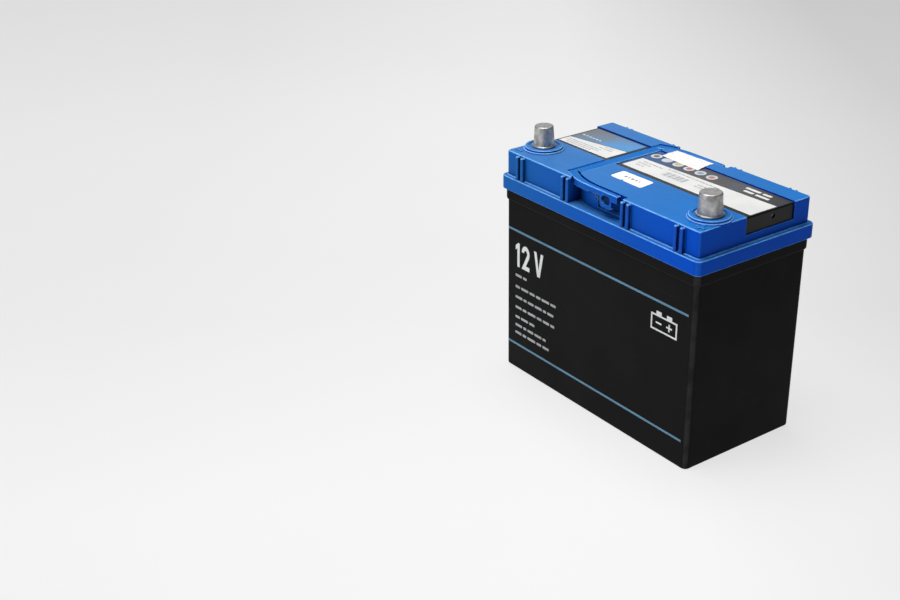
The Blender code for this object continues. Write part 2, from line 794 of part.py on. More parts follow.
def handle_pin(side):
    """Stub in the pocket that a handle eye turns on."""
    plan = circle((EYE_X, EYE_Z), PIN_RADIUS, SMALL_TURN)
    return prism_y("handle_pin", plan, side * (POCKET_REACH - BED_WALL), side * (ARM_REACH - PIN_SETBACK))


def hollows():
    """Room under the lid for the case's rim and above each cell."""
    plan = rounded_rectangle(
        CASE_LENGTH + 2 * SKIRT_GAP, CASE_WIDTH + 2 * SKIRT_GAP, CASE_CORNER + SKIRT_GAP
    )
    rim = prism("skirt_room", plan, FLANGE_BOTTOM - LID_WALL, LAND)
    return [rim] + [cell_core(k) for k in range(CELL_COUNT)]


def chamber_cuts(side):
    """Valve chamber with the seats for its cover and label, its vent and the pocket behind the vent."""
    end = side * BODY_LENGTH / 2
    wall = end - side * CHAMBER_END_WALL
    pocket = wall + side * (ARRESTOR_LENGTH + 2 * GAP)
    inside = wall - side * LID_WALL
    outside = end + side * LID_WALL
    return [
        prism("chamber", chamber_plan(side, 0), CHAMBER_BOTTOM, LID_TOP + LID_WALL),
        prism("cover_seat", chamber_plan(side, COVER_LEDGE), COVER_SEAT, LID_TOP + LID_WALL),
        label_bed(side),
        rod_x("arrestor_pocket", ARRESTOR_RADIUS + GAP, *sorted((inside, pocket)), VENT_Y, VENT_Z),
        rod_x("vent", VENT_RADIUS, *sorted((inside, outside)), VENT_Y, VENT_Z),
    ]


def stub(index):
    """Upright vent stub in a chamber that a valve cap fits over."""
    plan = circle((cell_x(index), CHAMBER_Y), STUB_RADIUS, SMALL_TURN)
    return prism("stub", plan, CHAMBER_BOTTOM - CHAMBER_FLOOR / 2, CHAMBER_BOTTOM + STUB_HEIGHT)


def stub_bore(index):
    plan = circle((cell_x(index), CHAMBER_Y), STUB_BORE, SMALL_TURN)
    return prism("stub_bore", plan, CHAMBER_CEILING - LID_WALL, CHAMBER_BOTTOM + 2 * STUB_HEIGHT)


def build_lid():
    lid = slab(
        "lid",
        FLANGE_LENGTH,
        FLANGE_WIDTH,
        FLANGE_CORNER,
        FLANGE_BOTTOM,
        FLANGE_TOP,
        FLANGE_EDGE / 2,
        FLANGE_EDGE,
    )
    body = slab("body", BODY_LENGTH, BODY_WIDTH, BODY_CORNER, LAND, LID_TOP, 0, BODY_EDGE)
    join(lid, [body, *ribs(), post_collar(-1), post_collar(1)])
    cut(lid, hollows())
    boxes = []
    openings = [channel()]
    for side in (-1, 1):
        boxes += [post_boss(side), channel_box(side), arm_slot_box(side)]
        openings += [sleeve_bore(side), finger_recess(side), eye_pocket(side), arm_slot(side)]
        openings += chamber_cuts(side)
    join(lid, boxes)
    cut(lid, openings)
    join(lid, [stub(k) for k in range(CELL_COUNT)] + [handle_pin(-1), handle_pin(1)])
    return cut(lid, [stub_bore(k) for k in range(CELL_COUNT)])


def build_cover(name, side):
    """Plate that closes a valve chamber, with a peg over each valve cap."""
    cover = prism(name, chamber_plan(side, COVER_LEDGE - GAP), COVER_BOTTOM, LABEL_SEAT)
    low = CHAMBER_BOTTOM + STUB_HEIGHT + GAP + CAP_WALL + GAP
    pegs = []
    for k in chamber_cells(side):
        plan = circle((cell_x(k), CHAMBER_Y), PEG_RADIUS, SMALL_TURN)
        pegs.append(prism("peg", plan, low, COVER_BOTTOM + COVER_THICKNESS / 2))
    return join(cover, pegs)


def build_valve_cap(name):
    """Rubber cap that covers a vent stub, about its own axis."""
    inner = STUB_RADIUS + GAP
    outer = inner + CAP_WALL
    inside_top = CHAMBER_BOTTOM + STUB_HEIGHT + GAP
    top = inside_top + CAP_WALL
    soft = CAP_WALL / 2
    low = top - CAP_HEIGHT
    profile = [
        (inner, low),
        (outer, low),
        (outer, top - soft),
        (outer - soft, top),
        (0, top),
        (0, inside_top),
        (inner, inside_top),
    ]
    return turned(name, profile, (0, 0), SMALL_TURN)


def build_label(name, side):
    """Film label with a hole where the vent comes out."""
    front, back = label_reach()
    section = label_line(side, LABEL_SINK, 0) + label_line(side, LABEL_SINK + LABEL_FILM, 0)[::-1]
    label = prism_y(name, section, front, back)
    end = side * BODY_LENGTH / 2
    ends = sorted((end - side * LABEL_BEND, end))
    return cut(label, [rod_x("label_hole", VENT_RADIUS, *ends, VENT_Y, VENT_Z)])


def build_arrestor(name, side):
    """Porous disc behind a vent."""
    inside = side * (BODY_LENGTH / 2 - CHAMBER_END_WALL + GAP)
    outside = inside + side * ARRESTOR_LENGTH
    return rod_x(name, ARRESTOR_RADIUS, *sorted((inside, outside)), VENT_Y, VENT_Z)


def build_post(name, side, base_radius):
    """Tapered lead post with its shoulder and sleeve, bored for the pillar that is welded into it."""
    bore = PILLAR_RADIUS + GAP
    tip = base_radius - POST_TAPER
    inside = sleeve_profile(0)
    profile = [
        (bore, BOSS_BOTTOM),
        *inside,
        (base_radius + SHOULDER_PROUD, SHOULDER_BOTTOM),
        (base_radius + SHOULDER_PROUD, SHOULDER_TOP),
        (base_radius, SHOULDER_TOP),
        *arc((tip - POST_EDGE, POST_TOP - POST_EDGE), POST_EDGE, 0, 90, SMALL_QUARTER),
        (bore, POST_TOP),
    ]
    return turned(name, profile, (side * POST_X, POST_Y), FINE_TURN)


# Handle


def handle_bar(name):
    """Grip that crosses the lid, with its upper edges taken off."""
    reach = arm_inner(BAR_LEFT)
    rings = []
    for drop, inset in ((BAR_THICKNESS, 0), (HANDLE_EDGE, 0), (0, HANDLE_EDGE)):
        plan = rectangle(BAR_LEFT + inset, BAR_RIGHT - inset, -reach - SKIRT, reach + SKIRT)
        rings.append([(x, y, HANDLE_TOP - drop) for x, y in plan])
    return loft(name, rings)


def arm_section(side, x, top, skirt):
    """Angle section of an arm at one place: a flat top with a skirt along its outer edge."""
    outer = arm_outer(x)
    inner = arm_inner(x)
    soft = HANDLE_EDGE
    points = [
        (outer - soft, top),
        (outer, top - soft),
        (outer, HANDLE_TOP - skirt),
        (outer - SKIRT, HANDLE_TOP - skirt),
        (outer - SKIRT, HANDLE_TOP - BAR_THICKNESS),
        (inner, HANDLE_TOP - BAR_THICKNESS),
        (inner, top - soft),
        (inner + soft, top),
    ]
    return [(x, side * y, z) for y, z in points]


def handle_arm(side):
    """Arm that bends away from the bar and along its recess, with a deep skirt where fingers lift it."""
    low = HANDLE_TOP - HANDLE_EDGE
    grip = spread(BAR_LEFT + HANDLE_EDGE, GRIP_END, ARM_STEPS)
    stations = [(BAR_LEFT, low, GRIP_SKIRT_DEPTH)]
    stations += [(x, HANDLE_TOP, GRIP_SKIRT_DEPTH) for x in grip]
    plain = (GRIP_END + SKIRT_STEP, INNER_BEND_X, END_SKIRT_X)
    stations += [(x, HANDLE_TOP, ARM_SKIRT_DEPTH) for x in plain]
    tip = (END_SKIRT_X + SKIRT_STEP, ARM_END - HANDLE_EDGE)
    stations += [(x, HANDLE_TOP, END_SKIRT_DEPTH) for x in tip]
    stations.append((ARM_END, low, END_SKIRT_DEPTH))
    return loft("handle_arm", [arm_section(side, *station) for station in stations])


def handle_eye(side):
    """Plate that hangs from an arm's skirt and is pierced for the pin."""
    low = EYE_Z - EYE_RADIUS
    high = HANDLE_TOP - BAR_THICKNESS / 2
    middle = (EYE_X, (low + high) / 2)
    plate = rounded_rectangle(2 * EYE_RADIUS, high - low, EYE_CORNER, middle, SMALL_QUARTER)
    return prism_y("handle_eye", plate, side * (ARM_REACH - EYE_THICKNESS), side * ARM_REACH)


def eye_hole():
    """Oblong hole through both eyes."""
    middle = (EYE_X, EYE_Z)
    outline = rounded_rectangle(EYE_HOLE_WIDTH, EYE_HOLE_HEIGHT, EYE_HOLE_CORNER, middle, SMALL_QUARTER)
    return prism_y("eye_hole", outline, FRONT, -FRONT)


def build_handle(name):
    handle = handle_bar(name)
    join(handle, [handle_arm(-1), handle_arm(1), handle_eye(-1), handle_eye(1)])
    cut(handle, [eye_hole()])
    return move_origin(handle, (EYE_X, 0, EYE_Z))


def build():
    for obj in list(bpy.data.objects):
        bpy.data.objects.remove(obj)
    battery = bpy.data.objects.new("battery", None)
    bpy.context.scene.collection.objects.link(battery)

    black = material("black_polypropylene", (0.012, 0.012, 0.013), 0.42)
    blue = material("blue_polypropylene", (0.010, 0.085, 0.420), 0.38)
    film = material("label_film", (0.045, 0.047, 0.052), 0.35)
    rubber = material("black_rubber", (0.015, 0.015, 0.015), 0.75)
    porous = material("porous_polyethylene", (0.75, 0.74, 0.70), 0.85)
    lead = material("lead", (0.30, 0.29, 0.29), 0.45, 0.85)
    finishes = {
        "positive": material("lead_dioxide", (0.055, 0.030, 0.022), 0.85),
        "negative": material("sponge_lead", (0.18, 0.18, 0.18), 0.70, 0.30),
        "mat": material("glass_mat", (0.82, 0.82, 0.80), 0.95),
        "lead": lead,
    }

    finish(build_case(), black, battery)
    build_cells(finishes, battery)
    finish(build_lid(), blue, battery)
    for k in range(CELL_COUNT):
        cap = build_valve_cap(f"valve_cap_{k + 1}")
        cap.location = (cell_x(k), CHAMBER_Y, 0)
        finish(cap, rubber, battery)
    for side, end in ((-1, "left"), (1, "right")):
        finish(build_cover(f"{end}_valve_cover", side), blue, battery)
        finish(build_label(f"{end}_label", side), film, battery)
        finish(build_arrestor(f"{end}_flame_arrestor", side), porous, battery)
    finish(build_post("positive_post", 1, POSITIVE_POST_RADIUS), lead, battery)
    finish(build_post("negative_post", -1, NEGATIVE_POST_RADIUS), lead, battery)
    finish(build_handle("carry_handle"), blue, battery)


build()
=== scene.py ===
"""Looks of the starter battery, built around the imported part.

Metres, in the part's own frame: +Z up, +X towards the positive post, -Y the front.
"""

import math

import bmesh
import bpy
from mathutils import Matrix, Vector, noise


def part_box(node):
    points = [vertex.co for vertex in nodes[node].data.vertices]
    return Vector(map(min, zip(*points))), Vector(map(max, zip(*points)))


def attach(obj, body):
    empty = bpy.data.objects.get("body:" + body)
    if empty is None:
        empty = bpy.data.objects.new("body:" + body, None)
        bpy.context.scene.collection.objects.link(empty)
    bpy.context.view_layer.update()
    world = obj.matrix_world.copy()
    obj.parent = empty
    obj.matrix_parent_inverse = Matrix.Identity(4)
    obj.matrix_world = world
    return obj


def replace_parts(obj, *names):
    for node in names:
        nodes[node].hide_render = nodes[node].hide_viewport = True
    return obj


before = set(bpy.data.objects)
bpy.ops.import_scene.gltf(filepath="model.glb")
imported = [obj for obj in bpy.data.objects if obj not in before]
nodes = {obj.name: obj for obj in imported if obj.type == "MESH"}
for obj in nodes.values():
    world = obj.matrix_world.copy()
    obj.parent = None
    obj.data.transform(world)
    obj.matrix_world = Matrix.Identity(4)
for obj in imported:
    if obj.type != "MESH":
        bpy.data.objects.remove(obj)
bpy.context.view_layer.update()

MM = 0.001


def srgb(red, green, blue):
    """Linear colour of an 8-bit screen colour."""
    shares = [value / 255 for value in (red, green, blue)]
    linear = [s / 12.92 if s <= 0.04045 else ((s + 0.055) / 1.055) ** 2.4 for s in shares]
    return (*linear, 1.0)


# Camera that was fitted to the photograph's frame of 900 by 600 pixels
IMAGE_WIDTH = 900
SENSOR = 36.0
FOCAL_PIXELS = 1373.7122607
CAMERA_PLACE = Vector((0.76333419631, -0.73791947857, 0.59647469281))
CAMERA_RIGHT = Vector((0.580750082869383, 0.8139059665062491, -0.016923915998739325))
CAMERA_DOWN = Vector((0.34397537673394285, -0.2641743009449086, -0.9010509857499797))
CAMERA_AHEAD = Vector((-0.7378416371064633, 0.5174640242623602, -0.4333828586207082))

# Printed films and papers: how thick they are and how deep they are set into what carries them
INK = 0.05 * MM
INK_SINK = 0.03 * MM
PAPER = 0.12 * MM

# Places on the part that the pieces and the materials go by
HANDLE_DROP = 0.6 * MM
LID_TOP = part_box("carry_handle")[1].z + HANDLE_DROP
LEFT_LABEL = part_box("left_label")
RIGHT_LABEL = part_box("right_label")
LABEL_TOP = LEFT_LABEL[1].z
CASE_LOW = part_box("case")[0]
COLLAR_PROUD = 1.6 * MM
CASE_FRONT = CASE_LOW.y + COLLAR_PROUD
CASE_LEFT = CASE_LOW.x + COLLAR_PROUD
OUTER_Y = 57.5 * MM

# Blues of the sides and of the tops, each at the left and at the right end of the lid, holding
# painted light: the tops are lighter than the sides, and the left end is paler than the right
BLUE_REACH = (-0.10, 0.115)
SIDE_BLUES = ((0.010, 0.130, 0.500, 1.0), (0.0, 0.078, 0.625, 1.0))
TOP_BLUES = ((0.054, 0.198, 0.508, 1.0), (0.012, 0.166, 0.545, 1.0))
HANDLE_BLUES = ((0.008, 0.158, 0.520, 1.0), (0.006, 0.132, 0.480, 1.0))

# Blues of the gloss, of the painted highlight and wear along edges, of dust, of the painted light
# on the wall beside the handle's bar and of the painted shade on the walls beside its arms
BLUE_GLOSS = (0.10, 0.9, 1.0, 1.0)
EDGE_HIGHLIGHT_BLUE = srgb(132, 192, 252)
DUST_BLUE = srgb(160, 196, 230)
PAINTED_SLOT_LIGHT = (0.03, 0.34, 1.0, 1.0)
PAINTED_GAP_SHADE = (0.0, 0.04, 0.40, 1.0)

# Light that is left in a tight and in a wide inner corner, how wide they are, and the share of
# that shade which reaches the faces that look up
LID_CREASES = (0.42, 0.38)
HANDLE_CREASES = (0.42, 0.50)
MARK_CREASES = (0.85, 1.0)
TIGHT_CORNER = 2.5 * MM
WIDE_CORNER = 14 * MM
TOP_SHADE = 0.40

# Films of the labels: plain grey in front of a line, and dimmer towards the right end
FRONT_MARGIN = (-4.3 * MM, -3.9 * MM)
DIM_REACH = (0.065, 0.108)
DIM_END = 0.45

# Floor: its own glow, which is painted light, its greys, and the directions along which the
# glow changes, to paint shade
FLOOR_GLOW = 0.715
FLOOR_GREYS = ((0.20, 0.20, 0.20, 1.0), (0.19, 0.19, 0.19, 1.0))
RIGHTWARD = (0.58, 0.81, 0.0)
AWAY = (-0.82, 0.57, 0.0)


# Shader nodes

# What most of a noise lies between, and the openness of an inner corner and of a flat face
MIDDLE = (0.3, 0.7)
CREASE = (0.35, 0.95)

# Cosines between which a mask comes in: at sharp edges, on faces that look up, on what lies
# askew, on the upper or the lower half of a round edge, and on walls
EDGE_TURN = (0.995, 0.86)
UP_TURN = (0.7, 0.95)
SLANT_TURN = (0.985, 0.88)
ROUND_TURN = (0.10, 0.35)
WALL_TURN = (0.3, 0.6)

# Share of the painted highlight on upright outer edges, how deep they reach, and share of a
# distance over which a mask is full
UPRIGHT_HIGHLIGHT = 0.08
UPRIGHT_DEPTH = 0.5 * MM
FULL = 0.8

# Rays for the softened normals at edges and for the openness of corners
EDGE_SAMPLES = 6
CORNER_SAMPLES = 8


class Surface:
    """One material, with short ways to add the nodes that it is made of."""

    def __init__(self, name, **sockets):
        self.material = bpy.data.materials.new(name)
        self.material.use_nodes = True
        self.tree = self.material.node_tree
        self.shader = self.tree.nodes["Principled BSDF"]
        self.place = self.add("ShaderNodeTexCoord").outputs["Object"]
        self.set(**sockets)

    def set(self, **sockets):
        """Give the shader's sockets, named in small letters, a value or a node's output."""
        for key, value in sockets.items():
            title = key.replace("_", " ").title().replace("Ior", "IOR")
            self.put(self.shader.inputs[title], value)

    def put(self, socket, value):
        """Link a socket to a node's output, or give it a value."""
        if isinstance(value, bpy.types.NodeSocket):
            self.tree.links.new(value, socket)
        else:
            socket.default_value = value

    def add(self, kind, inputs=(), **settings):
        """A new node, with its inputs by name or number."""
        node = self.tree.nodes.new(kind)
        for key, value in settings.items():
            setattr(node, key, value)
        for key, value in dict(inputs).items():
            self.put(node.inputs[key], value)
        return node

    # Sums on numbers, vectors and colours

    def math(self, operation, first, second=0.0):
        return self.add("ShaderNodeMath", {0: first, 1: second}, operation=operation).outputs[0]

    def times(self, first, *others):
        for other in others:
            first = self.math("MULTIPLY", first, other)
        return first

    def most(self, first, *others):
        for other in others:
            first = self.math("MAXIMUM", first, other)
        return first

    def absolute(self, value):
        return self.math("ABSOLUTE", value)

    def rest(self, share):
        """What a share leaves of one."""
        return self.math("SUBTRACT", 1.0, share)

    def ramp(self, value, low, high, start=0.0, end=1.0):
        """A value between low and high, spread from start to end and held there."""
        inputs = {"Value": value, "From Min": low, "From Max": high, "To Min": start, "To Max": end}
        return self.add("ShaderNodeMapRange", inputs).outputs[0]

    def spread(self, value, start=0.0, end=1.0):
        """A noise, spread from start to end."""
        return self.ramp(value, *MIDDLE, start, end)

    def peaks(self, value, low, high, share):
        """A mask of a share where a value is high."""
        return self.ramp(value, low, high, 0.0, share)

    def vectors(self, operation, *inputs):
        """A number for a dot product or a length, and otherwise a vector."""
        node = self.add("ShaderNodeVectorMath", enumerate(inputs), operation=operation)
        return node.outputs["Value" if operation in ("DOT_PRODUCT", "LENGTH") else "Vector"]

    def mix(self, share, first, second):
        """Colour between two others."""
        node = self.add("ShaderNodeMix", {0: share, 6: first, 7: second}, data_type="RGBA")
        return node.outputs[2]

    def shaded(self, colour, factor):
        """A colour times a factor."""
        inputs = {0: colour, "Scale": factor}
        return self.add("ShaderNodeVectorMath", inputs, operation="SCALE").outputs[0]

    # Places, directions and patterns

    def axis(self, letter):
        """One of the object coordinates."""
        return self.add("ShaderNodeSeparateXYZ", {"Vector": self.place}).outputs[letter]

    def along(self, direction):
        """How far the object coordinates lie along a direction."""
        return self.vectors("DOT_PRODUCT", self.place, direction)

    def facing(self, letter):
        """How far a face looks along one of the object's axes."""
        normal = self.add("ShaderNodeTexCoord").outputs["Normal"]
        return self.add("ShaderNodeSeparateXYZ", {"Vector": normal}).outputs[letter]

    def stretched(self, scale):
        """Object coordinates, scaled apart along the three axes."""
        return self.add("ShaderNodeMapping", {"Vector": self.place, "Scale": scale}).outputs[0]

    def noise(self, scale, detail=3.0, vector=None, distortion=0.0):
        """Noise with so many spots to the metre."""
        inputs = {
            "Vector": vector or self.place,
            "Scale": scale,
            "Detail": detail,
            "Distortion": distortion,
        }
        return self.add("ShaderNodeTexNoise", inputs).outputs[0]

    def wave(self, scale, letter):
        """Even bands across an axis."""
        inputs = {"Vector": self.place, "Scale": scale}
        return self.add("ShaderNodeTexWave", inputs, bands_direction=letter).outputs[1]

    def openness(self, distance):
        """A value that falls towards inner corners."""
        inputs = {"Distance": distance}
        node = self.add("ShaderNodeAmbientOcclusion", inputs, samples=CORNER_SAMPLES)
        return node.outputs["AO"]

    # Masks

    def edges(self, radius, share):
        """A mask of a share along sharp edges."""
        soft = self.add("ShaderNodeBevel", {"Radius": radius}, samples=EDGE_SAMPLES).outputs[0]
        plain = self.add("ShaderNodeNewGeometry").outputs["Normal"]
        return self.peaks(self.vectors("DOT_PRODUCT", soft, plain), *EDGE_TURN, share)

    def upward(self):
        """A mask of the faces that look up."""
        return self.ramp(self.facing("Z"), *UP_TURN)

    def slanted(self):
        """A mask of what lies askew to the object's axes, such as round edges."""
        squarest = self.most(*(self.absolute(self.facing(letter)) for letter in "XYZ"))
        return self.ramp(squarest, *SLANT_TURN)

    def rounded_edges(self):
        """A mask of the round edges between a top and a side, and of those on the outer faces."""
        up = self.ramp(self.facing("Z"), *ROUND_TURN)
        under = self.ramp(self.facing("Z"), *(-turn for turn in ROUND_TURN))
        off = self.absolute(self.axis("Y"))
        outside = self.peaks(off, OUTER_Y - UPRIGHT_DEPTH, OUTER_Y, UPRIGHT_HIGHLIGHT)
        return self.times(self.slanted(), self.most(up, under, outside))

    def wall(self, place, reach):
        """A mask of the faces near a place on the X axis that look along it."""
        off = self.absolute(self.math("SUBTRACT", self.axis("X"), place))
        near = self.ramp(off, reach, FULL * reach)
        return self.times(near, self.ramp(self.facing("X"), *WALL_TURN))

    def gap_side(self, near, far, low):
        """A mask of the faces above a height that look along the Y axis, from near to far on it."""
        off = self.absolute(self.axis("Y"))
        inside = self.times(self.ramp(off, near, near + MM), self.ramp(off, far, far - MM))
        above = self.ramp(self.axis("Z"), low, low + MM)
        across = self.ramp(self.absolute(self.facing("Y")), *WALL_TURN)
        return self.times(inside, above, across)

    def socket(self, centre, across, radius, least):
        """A factor that is low round a line through a point, measured in the two axes across it."""
        off = self.vectors("SUBTRACT", self.place, centre)
        away = self.vectors("LENGTH", self.vectors("MULTIPLY", off, across))
        return self.ramp(away, FULL * radius, radius, least, 1.0)

    def bump(self, *layers):
        """Relief from layers of (height, distance in metres, strength)."""
        normal = None
        for height, distance, strength in layers:
            inputs = {"Height": height, "Distance": distance, "Strength": strength}
            if normal:
                inputs["Normal"] = normal
            normal = self.add("ShaderNodeBump", inputs).outputs[0]
        self.set(normal=normal)


# Materials

# How far lead is a bare metal under its oxide
BARE_LEAD = 0.75


def blue_plastic(name, top_blues, creases, lit_wall=None, gap=None, sockets=()):
    """Moulded polypropylene: nearly smooth, wiped over, a little dusty, a little worn at its edges,
    which carry a painted highlight.

    Painted shade darkens inner corners and sockets. The tops are painted lighter than the sides,
    and the left end paler than the right one.
    """
    s = Surface(name, specular_ior_level=0.06, specular_tint=BLUE_GLOSS)
    # Painted light: the tops lighter than the sides, and the left end paler than the right one
    end = s.ramp(s.axis("X"), *BLUE_REACH)
    tone = s.mix(s.upward(), s.mix(end, *SIDE_BLUES), s.mix(end, *top_blues))
    tone = s.shaded(tone, s.spread(s.noise(14, 4.0), 1.0, 0.88))
    tight = s.ramp(s.openness(TIGHT_CORNER), *CREASE, creases[0], 1.0)
    wide = s.ramp(s.openness(WIDE_CORNER), *CREASE, creases[1], 1.0)
    reach = s.ramp(s.upward(), 0.0, 1.0, 1.0, TOP_SHADE)
    tone = s.shaded(tone, s.rest(s.times(s.rest(s.times(tight, wide)), reach)))
    # Painted light on the wall beside the handle's bar, and painted shade on the walls beside its
    # arms
    if lit_wall:
        tone = s.mix(s.wall(*lit_wall), tone, PAINTED_SLOT_LIGHT)
    if gap:
        tone = s.mix(s.gap_side(*gap), tone, PAINTED_GAP_SHADE)
    # Painted highlight, patchy, along round and sharp edges, which are also a little rougher
    uneven = s.ramp(s.noise(160, 5.0), 0.30, 0.62, 0.55, 1.0)
    wear_and_highlight = s.times(s.most(s.times(s.rounded_edges(), 0.85), s.edges(0.5 * MM, 0.5)), uneven)
    tone = s.mix(wear_and_highlight, tone, EDGE_HIGHLIGHT_BLUE)
    specks = s.times(s.peaks(s.noise(900, 2.0), 0.70, 0.77, 0.5), s.upward())
    tone = s.mix(specks, tone, DUST_BLUE)
    for socket in sockets:
        tone = s.shaded(tone, s.socket(*socket))
    wiped = s.noise(30, 6.0, s.stretched((0.6, 3.2, 2.0)), 1.2)
    rough = s.ramp(wiped, 0.3, 0.75, 0.26, 0.44)
    s.set(base_color=tone, roughness=s.math("ADD", rough, s.times(wear_and_highlight, 0.2)))
    s.bump((s.noise(38, 2.0), 0.35 * MM, 0.10), (s.noise(1500, 2.0), 0.03 * MM, 0.16))
    return s.material


def black_plastic(name):
    """Matt black polypropylene with a fine moulded grain, and a painted highlight along its edges.
    """
    s = Surface(name, specular_ior_level=0.035)
    tone = s.mix(s.spread(s.noise(9, 5.0)), srgb(25, 25, 25), srgb(21, 21, 21))
    # Painted highlight along round and sharp edges, weakest on edges that face down
    level = s.ramp(s.facing("Z"), -0.40, -0.10, 0.10, 0.40)
    round_edges = s.most(s.times(s.slanted(), level), s.edges(0.8 * MM, 0.4))
    bright_edges = s.times(round_edges, s.ramp(s.noise(90, 5.0), 0.30, 0.60, 0.4, 1.0))
    tone = s.mix(bright_edges, tone, srgb(74, 74, 75))
    scuffs = s.noise(55, 8.0, s.stretched((0.25, 0.25, 6.0)), 0.6)
    tone = s.mix(s.peaks(scuffs, 0.66, 0.74, 0.06), tone, srgb(80, 80, 82))
    s.set(base_color=tone, roughness=s.spread(s.noise(26, 5.0), 0.46, 0.60))
    s.bump((s.noise(12, 2.0), 0.5 * MM, 0.08), (s.noise(1100, 3.0), 0.05 * MM, 0.30))
    return s.material


def uneven_fade(s, share):
    """A share that wanders a little."""
    return s.math("ADD", share, s.spread(s.noise(40, 4.0, None, 0.8), -0.12, 0.12))


def film_finish(s):
    """Uneven gloss and faint waves, as of a film that was pressed on."""
    s.set(roughness=s.spread(s.noise(45, 5.0), 0.26, 0.40))
    s.bump((s.noise(55, 3.0), 0.15 * MM, 0.20))


def label_film(name, near, far, greys, slate):
    """Dark grey printed film under a clear gloss, fading to slate from far to near on the lid."""
    s = Surface(name, coat_weight=0.15, coat_roughness=0.12, specular_ior_level=0.12)
    share = uneven_fade(s, s.ramp(s.axis("X"), far, near))
    tone = s.mix(share, s.mix(s.spread(s.noise(22, 5.0)), *greys), slate)
    tone = s.mix(s.ramp(s.axis("Y"), *FRONT_MARGIN), srgb(56, 57, 59), tone)
    tone = s.shaded(tone, s.ramp(s.axis("X"), *DIM_REACH, 1.0, DIM_END))
    tone = s.mix(s.upward(), srgb(21, 20, 19), tone)
    dust = s.times(s.peaks(s.noise(700, 2.0), 0.70, 0.76, 0.35), s.upward())
    s.set(base_color=s.mix(dust, tone, srgb(150, 150, 150)))
    film_finish(s)
    return s.material


def shaded_panel(name, low, high):
    """Panel that fades from grey at its left and rear to blue at its right."""
    s = Surface(name, coat_weight=0.3, coat_roughness=0.12, specular_ior_level=0.2)
    along = s.ramp(s.axis("X"), low.x, high.x)
    across = s.ramp(s.axis("Y"), low.y, high.y, 0.0, 0.35)
    share = s.ramp(uneven_fade(s, s.math("SUBTRACT", along, across)), -0.1, 0.8)
    s.set(base_color=s.mix(share, srgb(112, 118, 124), srgb(74, 150, 214)))
    film_finish(s)
    return s.material


def printed(name, base, worn, roughness=0.34):
    """Ink on film: even, with a faint grain and small wear."""
    s = Surface(name, coat_weight=0.35, coat_roughness=0.15)
    tone = s.mix(s.ramp(s.noise(60, 6.0), 0.35, 0.7), base, worn)
    s.set(base_color=s.mix(s.spread(s.noise(1300, 2.0), 0.0, 0.12), tone, worn))
    s.set(roughness=s.spread(s.noise(70, 4.0), roughness - 0.06, roughness + 0.08))
    s.bump((s.noise(55, 3.0), 0.12 * MM, 0.20))
    return s.material


def paper(name, lines):
    """White sticker paper: fibres, a little grime, and where asked for faint coloured rules."""
    s = Surface(name, specular_ior_level=0.25)
    fibres = s.spread(s.noise(420, 6.0, s.stretched((1.0, 2.5, 1.0))))
    tone = s.mix(fibres, srgb(252, 252, 250), srgb(243, 242, 239))
    tone = s.mix(s.peaks(s.noise(70, 5.0), 0.55, 0.80, 0.25), tone, srgb(215, 213, 208))
    if lines:
        words = s.ramp(s.noise(260, 3.0, s.stretched((1.0, 0.02, 1.0))), 0.46, 0.54)
        rule = s.times(s.peaks(s.wave(62.0, "Y"), 0.80, 0.92, 0.55), words)
        tone = s.mix(rule, tone, srgb(222, 168, 150))
    s.set(base_color=tone, roughness=s.ramp(fibres, 0.0, 1.0, 0.62, 0.78))
    s.bump((s.noise(90, 4.0), 0.2 * MM, 0.25), (fibres, 0.03 * MM, 0.25))
    return s.material


def lead(name):
    """Cast lead, dull and oxidised, with brighter rubbed edges and fine scratches round it."""
    s = Surface(name, metallic=BARE_LEAD)
    patches = s.ramp(s.noise(170, 6.0, None, 0.8), 0.32, 0.68)
    tone = s.mix(patches, srgb(205, 204, 202), srgb(156, 155, 153))
    bright_edges = s.times(s.edges(0.7 * MM, 0.9), s.ramp(s.noise(220, 4.0), 0.3, 0.6))
    tone = s.mix(bright_edges, tone, srgb(226, 223, 218))
    scratches = s.noise(140, 7.0, s.stretched((1.0, 1.0, 11.0)))
    tone = s.mix(s.peaks(scratches, 0.60, 0.70, 0.45), tone, srgb(188, 186, 184))
    s.set(base_color=tone, roughness=s.ramp(patches, 0.0, 1.0, 0.30, 0.52))
    s.bump((s.noise(150, 4.0), 0.25 * MM, 0.22), (scratches, 0.06 * MM, 0.25))
    return s.material


def plate_paste(name, paste, worn, lead_above):
    """Pasted plates below a height, and the cast lead that joins and carries them above it."""
    s = Surface(name)
    grid = s.most(*(s.ramp(s.wave(32.0, letter), 0.86, 0.96) for letter in "YZ"))
    grain = s.noise(520, 5.0)
    tone = s.mix(s.spread(grain), paste, worn)
    tone = s.mix(s.times(grid, 0.5), tone, srgb(120, 119, 118))
    cast = s.ramp(s.axis("Z"), lead_above - 0.5 * MM, lead_above)
    solid = s.mix(s.spread(s.noise(170, 5.0)), srgb(142, 140, 139), srgb(108, 106, 105))
    s.set(base_color=s.mix(cast, tone, solid), metallic=s.times(cast, BARE_LEAD))
    s.set(roughness=s.ramp(cast, 0.0, 1.0, 0.85, 0.42))
    s.bump((grain, 0.12 * MM, 0.35))
    return s.material


def grained(name, base, worn, roughness, scale, relief):
    """Plain surface with a grain: rubber, sintered plastic or glass fibre."""
    s = Surface(name)
    grain = s.noise(scale, 5.0)
    s.set(base_color=s.mix(s.spread(grain), base, worn))
    s.set(roughness=s.spread(grain, roughness - 0.08, roughness + 0.05))
    s.bump((grain, relief, 0.4))
    return s.material


